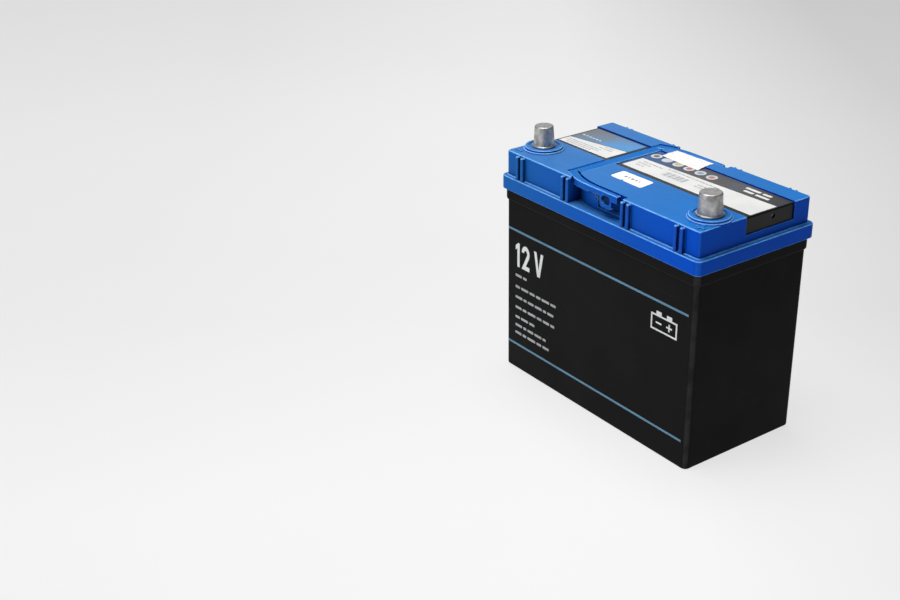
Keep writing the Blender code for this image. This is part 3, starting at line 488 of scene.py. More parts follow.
def floor_paint(name):
    """Pale seamless paper that glows as painted light, a little darker to the sides and behind as
    painted shade.
    """
    s = Surface(name, specular_ior_level=0.05, emission_strength=1.0)
    s.set(base_color=s.mix(s.spread(s.noise(3, 3.0)), *FLOOR_GREYS))
    s.set(roughness=s.spread(s.noise(5, 3.0), 0.85, 0.95))
    # Painted shade in the glow: darker to the right and to the far left, and a little darker behind
    across = s.along(RIGHTWARD)
    right = s.ramp(across, 0.02, 0.46, 1.0, 0.72)
    left = s.ramp(across, -0.50, -0.10, 0.93, 1.0)
    away = s.along(AWAY)
    front = s.ramp(away, -0.17, 0.16, 1.03, 0.94)
    back = s.ramp(away, 0.30, 0.70, 1.0, 1.05)
    s.set(emission_color=s.shaded([FLOOR_GLOW] * 3, s.times(right, left, front, back)))
    return s.material


# Meshes


def add_mesh(name, bm, material, body="battery"):
    """A piece of the object that moves with one of its bodies."""
    bmesh.ops.recalc_face_normals(bm, faces=bm.faces)
    mesh = bpy.data.meshes.new(name)
    bm.to_mesh(mesh)
    bm.free()
    mesh.materials.append(material)
    obj = bpy.data.objects.new(name, mesh)
    bpy.context.scene.collection.objects.link(obj)
    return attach(obj, body)


def band(bm, low, high):
    """Faces between two closed rings of points."""
    count = len(low)
    for k in range(count):
        after = (k + 1) % count
        bm.faces.new((low[k], low[after], high[after], high[k]))


def sweep(bm, rings):
    """A closed solid through rings of points."""
    for before, after in zip(rings, rings[1:]):
        band(bm, before, after)
    bm.faces.new(rings[0])
    bm.faces.new(rings[-1][::-1])


def prism(bm, outline, low, high, place):
    """A flat closed solid: place turns a point of the outline and a height into space."""
    rings = [[bm.verts.new(place(u, v, h)) for u, v in outline] for h in (low, high)]
    band(bm, *rings)
    bm.faces.new(rings[0][::-1])
    bm.faces.new(rings[1])


def prisms(name, outlines, low, high, place, material, slot=None):
    """One piece of several flat closed solids."""
    bm = bmesh.new()
    for outline in outlines:
        prism(bm, outline, low, high, place)
    return add_mesh(name, bm, material)


def arc(x, y, radius, start, end, steps):
    """Points on an arc, in degrees."""
    angles = [math.radians(start + (end - start) * k / steps) for k in range(steps + 1)]
    return [(x + radius * math.cos(a), y + radius * math.sin(a)) for a in angles]


def rounded(x0, x1, y0, y1, radius, steps=4):
    """Outline of a rectangle with round corners."""
    points = []
    for x, y, start in ((x1, y1, 0), (x0, y1, 90), (x0, y0, 180), (x1, y0, 270)):
        cx = x - math.copysign(radius, x - (x0 + x1) / 2)
        cy = y - math.copysign(radius, y - (y0 + y1) / 2)
        points += arc(cx, cy, radius, start, start + 90, steps)
    return points


def disc(x, y, radius, facets=40):
    """Outline of a disc."""
    return arc(x, y, radius, 0, 360, facets)[:-1]


def on_lid(x, y, height):
    """A point over the top of the lid."""
    return x, y, LID_TOP + height


def on_label(x, y, height):
    """A point over the labels, which lie in beds in the lid."""
    return x, y, LABEL_TOP + height


def on_front(x, z, height):
    """A point in front of the case."""
    return x, CASE_FRONT - height, z


# Rounding of a printed bar and the gap after it, in heights of the bar
DASH_ROUND = 0.3
DASH_GAP = 0.7


def dashes(x0, x1, y, height, words):
    """A row of short bars, in the lengths that words gives, as far as x1."""
    made = []
    x = x0
    k = 0
    while x + words[k % len(words)] * height < x1:
        end = x + words[k % len(words)] * height
        made.append(rounded(x, end, y - height / 2, y + height / 2, DASH_ROUND * height, 2))
        x = end + DASH_GAP * height
        k += 1
    return made


def text_rows(rows, words, height):
    """Rows of dashes from (start, end, y) in millimetres, that stand for small print."""
    made = []
    for k, (start, end, y) in enumerate(rows):
        made += dashes(start * MM, end * MM, y * MM, height * MM, words[k % len(words)])
    return made


def millimetres(points):
    return [(x * MM, y * MM) for x, y in points]


# Modifiers

SHARP = math.radians(40)
BEVELLED = math.radians(32)
FLAT = math.radians(0.3)
WELD = 0.002 * MM
EDGE = 0.35 * MM
SMALL_EDGE = 0.2 * MM
LARGE_FACES = 80


def smooth_group(angle):
    """Geometry nodes that shade a mesh smooth, apart from edges sharper than an angle."""
    group = bpy.data.node_groups.new("smooth_faces", "GeometryNodeTree")
    for way in ("INPUT", "OUTPUT"):
        group.interface.new_socket("Geometry", in_out=way, socket_type="NodeSocketGeometry")
    start = group.nodes.new("NodeGroupInput")
    faces = group.nodes.new("GeometryNodeSetShadeSmooth")
    edges = group.nodes.new("GeometryNodeSetShadeSmooth")
    edges.domain = "EDGE"
    edges.inputs["Shade Smooth"].default_value = False
    between = group.nodes.new("GeometryNodeInputMeshEdgeAngle")
    sharp = group.nodes.new("FunctionNodeCompare")
    sharp.operation = "GREATER_THAN"
    sharp.inputs[1].default_value = angle
    end = group.nodes.new("NodeGroupOutput")
    group.links.new(start.outputs[0], faces.inputs["Geometry"])
    group.links.new(faces.outputs[0], edges.inputs["Geometry"])
    group.links.new(between.outputs["Unsigned Angle"], sharp.inputs[0])
    group.links.new(sharp.outputs[0], edges.inputs["Selection"])
    group.links.new(edges.outputs[0], end.inputs[0])
    return group


SMOOTH = smooth_group(SHARP)


def shade_smooth(obj):
    obj.modifiers.new("shade", "NODES").node_group = SMOOTH
    return obj


def soften(obj, width=0.0, segments=2):
    """Round off a mesh: facets welded, flat faces merged, edges bevelled and shaded smooth."""
    obj.modifiers.new("weld", "WELD").merge_threshold = WELD
    if width:
        flat = obj.modifiers.new("flat", "DECIMATE")
        flat.decimate_type = "DISSOLVE"
        flat.angle_limit = FLAT
        bevel = obj.modifiers.new("bevel", "BEVEL")
        bevel.width = width
        bevel.segments = segments
        bevel.limit_method = "ANGLE"
        bevel.angle_limit = BEVELLED
        bevel.use_clamp_overlap = True
    shade_smooth(obj)
    normals = obj.modifiers.new("normals", "WEIGHTED_NORMAL")
    normals.keep_sharp = True
    normals.weight = LARGE_FACES
    return obj


# The imported nodes keep their shapes and take better surfaces

# Painted shade in the sockets of the pin and of the vent: centre, axes across it, radius, light
# that is left
HINGE = Vector((10.8, 0.0, 197.2)) * MM
VENT = sum(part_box("right_flame_arrestor"), Vector()) / 2
PIN_SOCKET = (HINGE, (1, 0, 1), 4.4 * MM, 0.22)
VENT_SOCKET = (VENT, (0, 1, 1), 2.6 * MM, 0.03)

# The wall beside the handle's bar, painted lighter, as a place and a reach, and the walls beside
# its arms and behind the labels, painted with shade, as distances from the middle and a lowest
# height
BED_WALL = (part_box("carry_handle")[0].x - 0.4 * MM, 0.8 * MM)
ARM_GAP = (40 * MM, 56 * MM, LID_TOP - 5 * MM)

LEFT_GREYS = (srgb(50, 52, 56), srgb(42, 44, 48))
LEFT_SLATE = srgb(34, 50, 68)
RIGHT_GREYS = (srgb(90, 90, 93), srgb(78, 78, 81))
RIGHT_SLATE = srgb(52, 92, 146)
SLATE_END = 0.02
PLATE_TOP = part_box("separator_1")[1].z


def paint(names, material):
    for name in names:
        for slot in nodes[name].material_slots:
            slot.material = material


def numbered(name, count):
    return [f"{name}_{k}" for k in range(1, count + 1)]


SOCKETS = (PIN_SOCKET, VENT_SOCKET)
lid_blue = blue_plastic("lid_blue", TOP_BLUES, LID_CREASES, BED_WALL, ARM_GAP, SOCKETS)
handle_blue = blue_plastic("handle_blue", HANDLE_BLUES, HANDLE_CREASES)
mark_blue = blue_plastic("mark_blue", TOP_BLUES, MARK_CREASES)
case_black = black_plastic("case_black")
left_film = label_film("left_film", LEFT_LABEL[1].x, LEFT_LABEL[0].x, LEFT_GREYS, LEFT_SLATE)
right_film = label_film("right_film", RIGHT_LABEL[0].x, SLATE_END, RIGHT_GREYS, RIGHT_SLATE)
lead_grey = lead("lead_grey")
rubber = grained("cap_rubber", srgb(34, 34, 34), srgb(26, 26, 26), 0.75, 800, 0.04 * MM)
sintered = grained("sintered", srgb(222, 219, 212), srgb(196, 193, 186), 0.85, 2600, 0.10 * MM)
glass_mat = grained("glass_mat", srgb(236, 236, 232), srgb(214, 214, 210), 0.92, 1800, 0.08 * MM)
brown_paste = plate_paste("positive_paste", srgb(72, 46, 38), srgb(54, 35, 30), PLATE_TOP)
grey_paste = plate_paste("negative_paste", srgb(120, 120, 120), srgb(98, 98, 99), PLATE_TOP)

COVERS = ["left_valve_cover", "right_valve_cover"]
paint(["lid", *COVERS], lid_blue)
paint(["carry_handle"], handle_blue)
paint(["case"], case_black)
paint(["left_label"], left_film)
paint(["right_label"], right_film)
paint(numbered("cell_weld", 5), lead_grey)
paint(numbered("valve_cap", 6), rubber)
paint(["left_flame_arrestor", "right_flame_arrestor"], sintered)
paint(numbered("separator", 6), glass_mat)
paint(numbered("positive_plates", 6), brown_paste)
paint(numbered("negative_plates", 6), grey_paste)

for name in ("lid", "carry_handle", "case"):
    soften(nodes[name], EDGE)
for name in ("left_label", "right_label"):
    soften(nodes[name])
for name in numbered("valve_cap", 6) + COVERS:
    soften(nodes[name], SMALL_EDGE)

# Posts: cast lead, tapered, with a rounded rim and a dished top

POST_FACETS = 112
TAPER_ROWS = 14
RIM_STEPS = 6
TOP_RINGS = 7
SHOULDER_PROUD = 1.1 * MM
SHOULDER_HEIGHT = 1.3 * MM
SHOULDER_EDGES = (0.2 * MM, 0.3 * MM)
FOOT_EDGE = 0.25 * MM
SLEEVE_RADIUS = 8.2 * MM
SLEEVE_ABOVE = 20.1 * MM
PILLAR_BORE = 5.5 * MM
CAP_THICKNESS = 0.6 * MM
POST_TAPER = 0.9 * MM
RIM = 1.3 * MM
DISH = 0.22 * MM
DENT = 0.07 * MM
COARSE_DENTS = 380
FINE_DENTS = 1100
FINE_SHARE = 0.5
SIDE_SHARE = 0.8


def post_profile(low, high):
    """Half section, as (radius, height) from the middle of the cap's underside round to its top."""
    shoulder = (high.x - low.x) / 2
    base = shoulder - SHOULDER_PROUD
    foot = low.z + SLEEVE_ABOVE
    step = foot + SHOULDER_HEIGHT
    tip = base - POST_TAPER
    under = high.z - CAP_THICKNESS
    lower, upper = SHOULDER_EDGES
    points = [(0, under), (PILLAR_BORE, under), (PILLAR_BORE, low.z)]
    points += [(SLEEVE_RADIUS, low.z), (SLEEVE_RADIUS, foot)]
    points += [(shoulder - lower, foot), (shoulder, foot + lower)]
    points += [(shoulder, step - upper), (shoulder - upper, step)]
    points += [(base + FOOT_EDGE, step), (base, step + FOOT_EDGE)]
    rise = high.z - RIM - step
    for k in range(1, TAPER_ROWS + 1):
        points.append((base - POST_TAPER * k / TAPER_ROWS, step + rise * k / TAPER_ROWS))
    points += arc(tip - RIM, high.z - RIM, RIM, 0, 90, RIM_STEPS)[1:]
    for k in range(1, TOP_RINGS + 1):
        share = k / TOP_RINGS
        points.append(((tip - RIM) * (1 - share), high.z - DISH * math.sin(math.pi * share)))
    return points


def build_post(node):
    low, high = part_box(node)
    centre = (low + high) / 2
    bm = bmesh.new()
    rings = []
    for radius, z in post_profile(low, high):
        ring = []
        for k in range(POST_FACETS if radius > 0 else 1):
            turn = 2 * math.pi * k / POST_FACETS
            out = Vector((math.cos(turn), math.sin(turn), 0))
            spot = Vector((centre.x, centre.y, z)) + out * radius
            if z > low.z + SLEEVE_ABOVE + SHOULDER_HEIGHT:
                rough = noise.noise(spot * COARSE_DENTS)
                rough += FINE_SHARE * noise.noise(spot * FINE_DENTS)
                on_side = radius > SIDE_SHARE * (high.x - centre.x)
                spot += (out if on_side else Vector((0, 0, 1))) * rough * DENT
            ring.append(bm.verts.new(spot))
        rings.append(ring)
    for below, above in zip(rings, rings[1:]):
        for k in range(POST_FACETS):
            places = ((below, k), (below, k + 1), (above, k + 1), (above, k))
            corners = [ring[place % POST_FACETS % len(ring)] for ring, place in places]
            bm.faces.new(dict.fromkeys(corners))
    piece = shade_smooth(add_mesh(f"{node}_cast", bm, lead_grey))
    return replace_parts(piece, node)


build_post("positive_post")
build_post("negative_post")

# Small fillet where the lid's raised body meets the flange, with little painted shade, whose round
# face takes the painted edge highlight

BODY_END = 115.0 * MM
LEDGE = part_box("lid")[1].x - BODY_END
FOOT_Z = 182.5 * MM
FOOT_CORNER = 2.5 * MM
FOOT_FILLET = 0.9 * MM
FOOT_START = 39.2 * MM
FOOT_STEPS = 6


def foot_path(side):
    """Points round one end of the lid's body, each with the direction outwards."""
    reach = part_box("lid")[1] - Vector((LEDGE, LEDGE, 0))
    path = [((side * FOOT_START, -side * reach.y), (0, -side))]
    for turn in (-90, 0):
        centre_y = (reach.y - FOOT_CORNER) * (1 if turn == 0 else -1)
        centre = Vector((reach.x - FOOT_CORNER, centre_y))
        for k in range(FOOT_STEPS + 1):
            angle = math.radians(turn + 90 * k / FOOT_STEPS)
            out = Vector((math.cos(angle), math.sin(angle))) * side
            path.append((centre * side + out * FOOT_CORNER, out))
    path.append(((side * FOOT_START, side * reach.y), (0, side)))
    return [(Vector(spot), Vector(out)) for spot, out in path]


def foot_section():
    """Closed section of the fillet, as (distance outwards, height)."""
    turns = [math.radians(90 * k / FOOT_STEPS) for k in range(FOOT_STEPS + 1)]
    curve = [(FOOT_FILLET * (1 - math.sin(t)), FOOT_FILLET * (1 - math.cos(t))) for t in turns]
    return [(-INK, -INK), (FOOT_FILLET, -INK), *curve, (-INK, FOOT_FILLET)]


def build_foot():
    bm = bmesh.new()
    section = foot_section()
    for side in (-1, 1):
        rings = []
        for spot, out in foot_path(side):
            points = [(*(spot + out * d), FOOT_Z + h) for d, h in section]
            rings.append([bm.verts.new(point) for point in points])
        sweep(bm, rings)
    return shade_smooth(add_mesh("lid_foot_fillet", bm, mark_blue))


build_foot()

# Raised polarity marks beside the posts

MARK_SPAN = 9.0 * MM
MARK_STROKE = 2.3 * MM
MARK_HEIGHT = 0.7 * MM
MARK_SINK = 0.3 * MM
MARK_EDGE = 0.3 * MM
MARK_X = 108.0 * MM
MARK_Y = -52.6 * MM


def mark(name, x, upright):
    """A plus or a minus on the lid, drawn with rounded edges."""
    h = MARK_SPAN / 2
    w = MARK_STROKE / 2
    if upright:
        outline = [(w, w), (w, h), (-w, h), (-w, w), (-h, w), (-h, -w)]
        outline += [(-w, -w), (-w, -h), (w, -h), (w, -w), (h, -w), (h, w)]
    else:
        outline = [(h, w), (-h, w), (-h, -w), (h, -w)]
    places = [(x + u, MARK_Y + v) for u, v in outline]
    piece = prisms(name, [places], -MARK_SINK, MARK_HEIGHT, on_lid, mark_blue, "lid_plastic")
    return soften(piece, MARK_EDGE, 3)


mark("plus_mark", MARK_X, True)
mark("minus_mark", -MARK_X, False)

# Labels: printed bands, panels, discs and rows of bars on the films

ink_white = printed("ink_white", srgb(233, 233, 230), srgb(222, 223, 222))
ink_grey = printed("ink_grey", srgb(150, 152, 155), srgb(168, 170, 172))
ink_mark = printed("ink_mark", srgb(104, 106, 114), srgb(130, 132, 138))
ink_dark = printed("ink_dark", srgb(84, 86, 90), srgb(100, 102, 105))
ink_pale = printed("ink_pale", srgb(214, 216, 218), srgb(196, 198, 202))
ink_yellow = printed("ink_yellow", srgb(206, 186, 96), srgb(190, 176, 110))
ink_red = printed("ink_red", srgb(186, 108, 104), srgb(176, 120, 116))
ink_blue = printed("ink_blue", srgb(120, 150, 190), srgb(132, 156, 188))

FIRST_INK = (-INK_SINK, INK)
SECOND_INK = (0.0, INK + INK_SINK)


def label_ink(name, outlines, material, layer=FIRST_INK):
    return prisms(name, outlines, *layer, on_label, material, "label_film")


# Outlines, rows of (start, end, y) and heights of rows, in millimetres; words in heights of a row
SHORT_WORDS = (3.0, 5.5, 2.2)
LONG_WORDS = (4.5, 2.6, 6.0, 3.4)
LEFT_BAND = [(-110.8, -6.0), (-49.2, -6.0), (-49.2, 17.8), (-110.8, 7.2)]
LEFT_PANEL = [(-110.8, 8.0), (-49.2, 18.6), (-49.2, 39.8), (-110.8, 39.8)]
PANEL_FADE = (Vector((-0.112, 0.008)), Vector((-0.048, 0.039)))
LEFT_ROWS = [
    (-108, -66, 3.6), (-108, -62, 0.4), (-104, -70, -2.8), (-74, -56, 8.0), (-70, -57, 11.6)
]
LEFT_ROW_HEIGHT = 1.1
LEFT_DASHES = [(-108, -84, 19.2)]
LEFT_DASH_HEIGHT = 2.0
LEFT_DASH_WORDS = (1.6, 1.2)
RIGHT_BAND = [(-30.6, -4.5), (112.0, -4.5), (112.0, 24.2), (-30.6, 18.4)]
RIGHT_ROWS = [
    (-24, 0, 13.4), (-26, -8, 9.0), (-24, -10, 4.6), (2, 62, 16.4), (42, 60, 10.0), (42, 56, 6.0)
]
RIGHT_ROW_HEIGHT = 1.2
BOLD_ROWS = [(70, 106, 35.4), (73, 108, 29.6)]
BOLD_ROW_HEIGHT = 3.0
BOLD_WORDS = ((5.2, 3.0, 4.1), (3.4, 4.6, 2.8))

label_ink("left_label_band", [millimetres(LEFT_BAND)], ink_white)
panel_fade = shaded_panel("panel_fade", *PANEL_FADE)
label_ink("left_label_panel", [millimetres(LEFT_PANEL)], panel_fade)
left_rules = text_rows(LEFT_ROWS, (SHORT_WORDS, LONG_WORDS), LEFT_ROW_HEIGHT)
label_ink("left_label_rules", left_rules, ink_grey, SECOND_INK)
left_dashes = text_rows(LEFT_DASHES, (LEFT_DASH_WORDS,), LEFT_DASH_HEIGHT)
label_ink("left_label_dashes", left_dashes, ink_pale, SECOND_INK)

# A block of narrow and wide bars, in millimetres
BAR_COUNT = 14
BAR_START = 7.0
BAR_PITCH = 1.8
BAR_WIDTH = 0.6
WIDE_BAR = 1.3
WIDE_BARS = (1, 4, 7, 9, 12)
BAR_LOW = 3.0
BAR_HIGH = 12.0
BAR_EDGE = 0.1


def bar(k):
    start = BAR_START + BAR_PITCH * k
    end = start + (WIDE_BAR if k in WIDE_BARS else BAR_WIDTH)
    return rounded(start * MM, end * MM, BAR_LOW * MM, BAR_HIGH * MM, BAR_EDGE * MM, 1)


label_ink("right_label_band", [millimetres(RIGHT_BAND)], ink_white)
label_ink("right_label_bars", [bar(k) for k in range(BAR_COUNT)], ink_grey, SECOND_INK)
right_rules = text_rows(RIGHT_ROWS, (LONG_WORDS, SHORT_WORDS), RIGHT_ROW_HEIGHT)
label_ink("right_label_rules", right_rules, ink_grey, SECOND_INK)

DISC_FIRST = -26.6
DISC_PITCH = 12.8
DISC_PLACES = [(DISC_FIRST + DISC_PITCH * k) * MM for k in range(6)]
DISC_Y = 30.4 * MM
DISC_RADIUS = 4.9 * MM
DOT_RADIUS = 2.7 * MM
DOT_INKS = (ink_dark, ink_pale, ink_yellow, ink_red, ink_blue, ink_red)
label_ink("right_label_discs", [disc(x, DISC_Y, DISC_RADIUS) for x in DISC_PLACES], ink_pale)
for k, (x, ink) in enumerate(zip(DISC_PLACES, DOT_INKS), 1):
    label_ink(f"right_label_dot_{k}", [disc(x, DISC_Y, DOT_RADIUS)], ink, SECOND_INK)
bold_rows = text_rows(BOLD_ROWS, BOLD_WORDS, BOLD_ROW_HEIGHT)
label_ink("right_label_stripes", bold_rows, ink_white)

# Stickers: paper that doesn't lie quite flat

STICKER_CELLS = (48, 26)
SLIP_SLOPE = 7.5 * MM
NICK_REACH = 0.25
NICK_DEPTH = 0.13
NICK_WIDTH = 0.026
# Waves in the paper, as (scale, layer of the noise, height), and the level that they lie about
WAVES = ((90, 3.7, 1.0), (240, 9.1, 0.5))
WAVE_LEVEL = 0.35


def slip_ground(y):
    """Height that the slip lies at: the lid's top, and a slope to the label in front of it."""
    share = min(max((RIGHT_LABEL[1].y - y) / SLIP_SLOPE, 0.0), 1.0)
    return LID_TOP + (LABEL_TOP - LID_TOP) * share


def lid_ground(_):
    return LID_TOP


def round_corner(spot, size, radius):
    """A point of a rectangle, pulled in where it lies outside a round corner."""
    corner = Vector([min(max(spot[k], radius), size[k] - radius) for k in (0, 1)])
    away = spot - corner
    if away.x and away.y and away.length > radius:
        return corner + away * (radius / away.length)
    return spot


def border(grid):
    """The points round a grid, in order."""
    right = [row[-1] for row in grid[:-1]]
    left = [row[0] for row in grid[:0:-1]]
    return grid[0][:-1] + right + grid[-1][:0:-1] + left


def sticker(name, corners, radius, wave, ground, material, nick=None):
    """A paper sticker between four corners, in order round it, with waves of a given height."""
    across, along = STICKER_CELLS
    a, b, c, d = (Vector(p) * MM for p in corners)
    size = Vector(((b - a).length, (d - a).length))
    bm = bmesh.new()
    layers = []
    for thickness in (0.0, PAPER):
        grid = []
        for j in range(along + 1):
            row = []
            for i in range(across + 1):
                spot = Vector((i / across * size.x, j / along * size.y))
                spot = round_corner(spot, size, radius)
                s, t = spot.x / size.x, spot.y / size.y
                if nick and t < NICK_REACH:
                    dent = math.exp(-(((s - nick) / NICK_WIDTH) ** 2))
                    t += NICK_DEPTH * (1 - t / NICK_REACH) * dent
                flat = a.lerp(b, s).lerp(d.lerp(c, s), t)
                lift = WAVE_LEVEL
                for scale, layer, height in WAVES:
                    lift += height * noise.noise(Vector((flat.x * scale, flat.y * scale, layer)))
                z = ground(flat.y) + INK + INK_SINK + wave * max(0.0, lift) + thickness
                row.append(bm.verts.new((flat.x, flat.y, z)))
            grid.append(row)
        layers.append(grid)
    for grid in layers:
        for near, far in zip(grid, grid[1:]):
            for i in range(across):
                bm.faces.new((near[i], near[i + 1], far[i + 1], far[i]))
    band(bm, *(border(grid) for grid in layers))
    return shade_smooth(add_mesh(name, bm, material))


DATE_CORNERS = ((-14.0, -32.7), (22.2, -33.1), (20.2, -16.5), (-14.8, -17.1))
DATE_ROUND = 2.2 * MM
DATE_WAVE = 0.02 * MM
DATE_NICK = 0.39
DATE_INK = (0.15 * MM, 0.26 * MM)
DATE_ROW = [(-5.0, 15.0, -24.6)]
DATE_WORDS = (0.8, 0.4, 1.0, 0.6, 0.4, 0.8)
DATE_ROW_HEIGHT = 2.9
SLIP_CORNERS = ((-24.0, 34.2), (18.6, 32.8), (18.2, 51.6), (-23.0, 50.2))
SLIP_ROUND = 0.5 * MM
SLIP_WAVE = 0.30 * MM

plain_paper = paper("sticker_paper", False)
sticker("date_sticker", DATE_CORNERS, DATE_ROUND, DATE_WAVE, lid_ground, plain_paper, DATE_NICK)
date_marks = text_rows(DATE_ROW, (DATE_WORDS,), DATE_ROW_HEIGHT)
prisms("date_marks", date_marks, *DATE_INK, on_lid, ink_mark, "label_film")
ruled_paper = paper("slip_paper", True)
sticker("paper_slip", SLIP_CORNERS, SLIP_ROUND, SLIP_WAVE, slip_ground, ruled_paper)

# Print on the front of the case: two lines, a voltage, rows of bars and a battery symbol

CASE_CORNER = 5.0 * MM
STRIPE_HEIGHT = 2.0 * MM
STRIPE_PLACES = (134.5 * MM, 24.6 * MM)
STRIPE_END = 109.0 * MM
STRIPE_WRAP = 60
STRIPE_STEPS = 8
CASE_GLOSS = 0.42

ink_steel = printed("ink_steel", srgb(74, 134, 164), srgb(60, 112, 140), CASE_GLOSS)
ink_bright = printed("ink_bright", srgb(236, 238, 238), srgb(214, 216, 217), CASE_GLOSS)
ink_silver = printed("ink_silver", srgb(168, 171, 174), srgb(140, 143, 146), CASE_GLOSS)


def stripe(bm, z):
    """A printed line along the front and round the left corner of the case."""
    centre = Vector((CASE_LEFT + CASE_CORNER, CASE_FRONT + CASE_CORNER))
    bend = arc(*centre, CASE_CORNER, 270, 270 - STRIPE_WRAP, STRIPE_STEPS)
    path = [(Vector((STRIPE_END, CASE_FRONT)), Vector((0, -1)))]
    path += [(spot, (spot - centre).normalized()) for spot in map(Vector, bend)]
    rings = []
    for spot, out in path:
        inner = spot - out * INK_SINK
        outer = spot + out * INK
        corners = ((inner, -1), (outer, -1), (outer, 1), (inner, 1))
        points = [(p.x, p.y, z + side * STRIPE_HEIGHT / 2) for p, side in corners]
        rings.append([bm.verts.new(point) for point in points])
    sweep(bm, rings)


def case_ink(name, outlines, material):
    return prisms(name, outlines, -INK_SINK, INK, on_front, material, "case_plastic")


stripes = bmesh.new()
for z in STRIPE_PLACES:
    stripe(stripes, z)
add_mesh("case_stripes", stripes, ink_steel)

# Bold outlines of one unit in height: their width, and their points anticlockwise
STROKE = 0.18
BOWL = 0.30
BOWL_END = -35
BOWL_STEPS = 16
NECK = 0.33
ONE = (0.31, [(0.13, 0), (0.31, 0), (0.31, 1), (0.18, 1), (0, 0.87), (0, 0.68), (0.13, 0.77)])
TWO = (
    2 * BOWL,
    [(0, 0), (2 * BOWL, 0), (2 * BOWL, STROKE), (NECK, STROKE)]
    + arc(BOWL, 1 - BOWL, BOWL, BOWL_END, 180, BOWL_STEPS)
    + arc(BOWL, 1 - BOWL, BOWL - STROKE, 180, BOWL_END, BOWL_STEPS),
)
VEE = (0.70, [(0.25, 0), (0.45, 0), (0.70, 1), (0.51, 1), (0.35, 0.29), (0.19, 1), (0, 1)])

# Characters with the gap before each, and their size on the case
VOLTAGE = ((0, ONE), (0.16, TWO), (0.34, VEE))
VOLTAGE_LEFT = -102 * MM
VOLTAGE_LOW = 101 * MM
VOLTAGE_HEIGHT = 22.5 * MM
VOLTAGE_NARROW = 0.80


def characters(glyphs):
    """Outlines of plain bold characters in a row."""
    outlines = []
    x = VOLTAGE_LEFT
    unit = VOLTAGE_HEIGHT * VOLTAGE_NARROW
    for gap, (width, points) in glyphs:
        x += gap * unit
        outlines.append([(x + u * unit, VOLTAGE_LOW + v * VOLTAGE_HEIGHT) for u, v in points])
        x += width * unit
    return outlines


# Rows of bars, as (start, end, height up the case) in millimetres
CASE_ROWS = [
    (-102, -84, 92.5), (-102, -45, 81.5), (-102, -45, 71.5), (-102, -44, 61.5),
    (-102, -70, 52.0), (-102, -50, 44.0), (-102, -53, 36.5),
]
CASE_WORDS = ((3.6, 2.2, 4.6, 2.8), (2.6, 4.2, 3.0), (4.0, 1.8, 3.4))
CASE_ROW_HEIGHT = 2.4

SYMBOL_BOX = (69 * MM, 98 * MM, 109 * MM, 123 * MM)
SYMBOL_STROKE = 1.5 * MM
SYMBOL_ARM = 3.2 * MM
SYMBOL_ROUND = 0.3 * MM
SYMBOL_JOINT = 0.01 * MM


def battery_symbol(x0, x1, z0, z1):
    """Outlined cell with its two terminals, a plus and a minus."""
    t = SYMBOL_STROKE
    half = t / 2
    arm = SYMBOL_ARM
    middle = (z0 + z1) / 2
    span = (x1 - x0) / 5
    minus, plus = x0 + 1.5 * span, x1 - 1.5 * span
    bars = [(x0, x1, z0, z0 + t), (x0, x1, z1 - t, z1)]
    bars += [(x, x + span, z1, z1 + 2 * t) for x in (x0 + span, x1 - 2 * span)]
    bars += [(x - arm, x + arm, middle - half, middle + half) for x in (minus, plus)]
    bars += [(plus - half, plus + half, middle + half, middle + arm)]
    bars += [(plus - half, plus + half, middle - arm, middle - half)]
    sides = [(x, x + t, z0 + t, z1 - t) for x in (x0, x1 - t)]
    parts = [rounded(*box, SYMBOL_ROUND, 2) for box in bars]
    return parts + [rounded(*box, SYMBOL_JOINT, 1) for box in sides]


case_ink("case_voltage", characters(VOLTAGE), ink_bright)
case_ink("case_rules", text_rows(CASE_ROWS, CASE_WORDS, CASE_ROW_HEIGHT), ink_silver)
case_ink("case_symbol", battery_symbol(*SYMBOL_BOX), ink_bright)

# Studio: pale floor, soft light from above, the front and the rear left, the photograph's camera

FLOOR_HALF = 6.0
DARK_SIDE = (0.94, 0.34, 0.0)
SKY_FALL = {"From Min": -0.2, "From Max": 0.8, "To Min": 0.40, "To Max": 0.20}
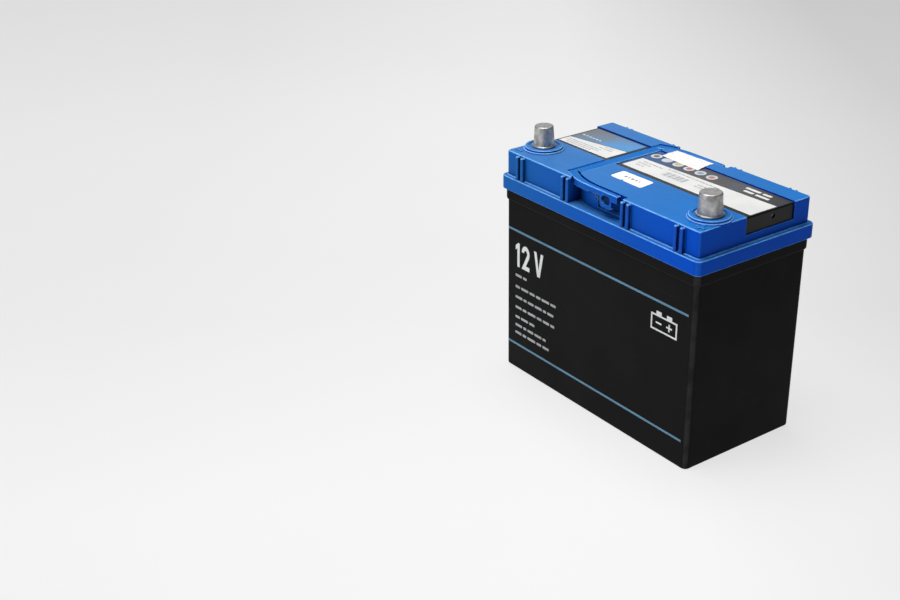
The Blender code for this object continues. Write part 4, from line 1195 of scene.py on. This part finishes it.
# Place, aim, size and power of each light
LIGHTS = {
    "overhead": ((-0.20, -0.10, 1.60), (0, 0, 0.15), (1.1, 0.9), 26),
    "front": ((-0.30, -1.90, 0.95), (0, 0, 0.12), (1.5, 1.2), 15),
    "behind_left": ((-2.40, 1.70, 1.40), (0, 0, 0.20), (3.0, 1.6), 6),
}


def soft_light(name, place, aim, size, power):
    data = bpy.data.lights.new(name, "AREA")
    data.shape = "RECTANGLE"
    data.size, data.size_y = size
    data.energy = power
    light = bpy.data.objects.new(name, data)
    light.location = place
    light.rotation_euler = (Vector(aim) - Vector(place)).to_track_quat("-Z", "Y").to_euler()
    bpy.context.scene.collection.objects.link(light)


corners = [(FLOOR_HALF * x, FLOOR_HALF * y, 0) for x, y in ((-1, -1), (1, -1), (1, 1), (-1, 1))]
mesh = bpy.data.meshes.new("floor")
mesh.from_pydata(corners, [], [(0, 1, 2, 3)])
mesh.materials.append(floor_paint("floor_paper"))
floor = bpy.data.objects.new("floor", mesh)
bpy.context.scene.collection.objects.link(floor)

world = bpy.data.worlds.new("studio")
world.use_nodes = True
tree = world.node_tree
bearing = tree.nodes.new("ShaderNodeVectorMath")
bearing.operation = "DOT_PRODUCT"
bearing.inputs[1].default_value = DARK_SIDE
tree.links.new(tree.nodes.new("ShaderNodeTexCoord").outputs["Generated"], bearing.inputs[0])
fall = tree.nodes.new("ShaderNodeMapRange")
for key, value in SKY_FALL.items():
    fall.inputs[key].default_value = value
tree.links.new(bearing.outputs["Value"], fall.inputs["Value"])
tree.links.new(fall.outputs[0], tree.nodes["Background"].inputs["Strength"])
bpy.context.scene.world = world

for name, setting in LIGHTS.items():
    soft_light(name, *setting)

camera_data = bpy.data.cameras.new("camera")
camera_data.sensor_fit = "HORIZONTAL"
camera_data.sensor_width = SENSOR
camera_data.lens = FOCAL_PIXELS / IMAGE_WIDTH * SENSOR
camera = bpy.data.objects.new("camera", camera_data)
turn = Matrix((CAMERA_RIGHT, -CAMERA_DOWN, -CAMERA_AHEAD)).transposed()
camera.matrix_world = Matrix.Translation(CAMERA_PLACE) @ turn.to_4x4()
bpy.context.scene.collection.objects.link(camera)
bpy.context.scene.camera = camera
bpy.context.scene.view_settings.view_transform = "Standard"
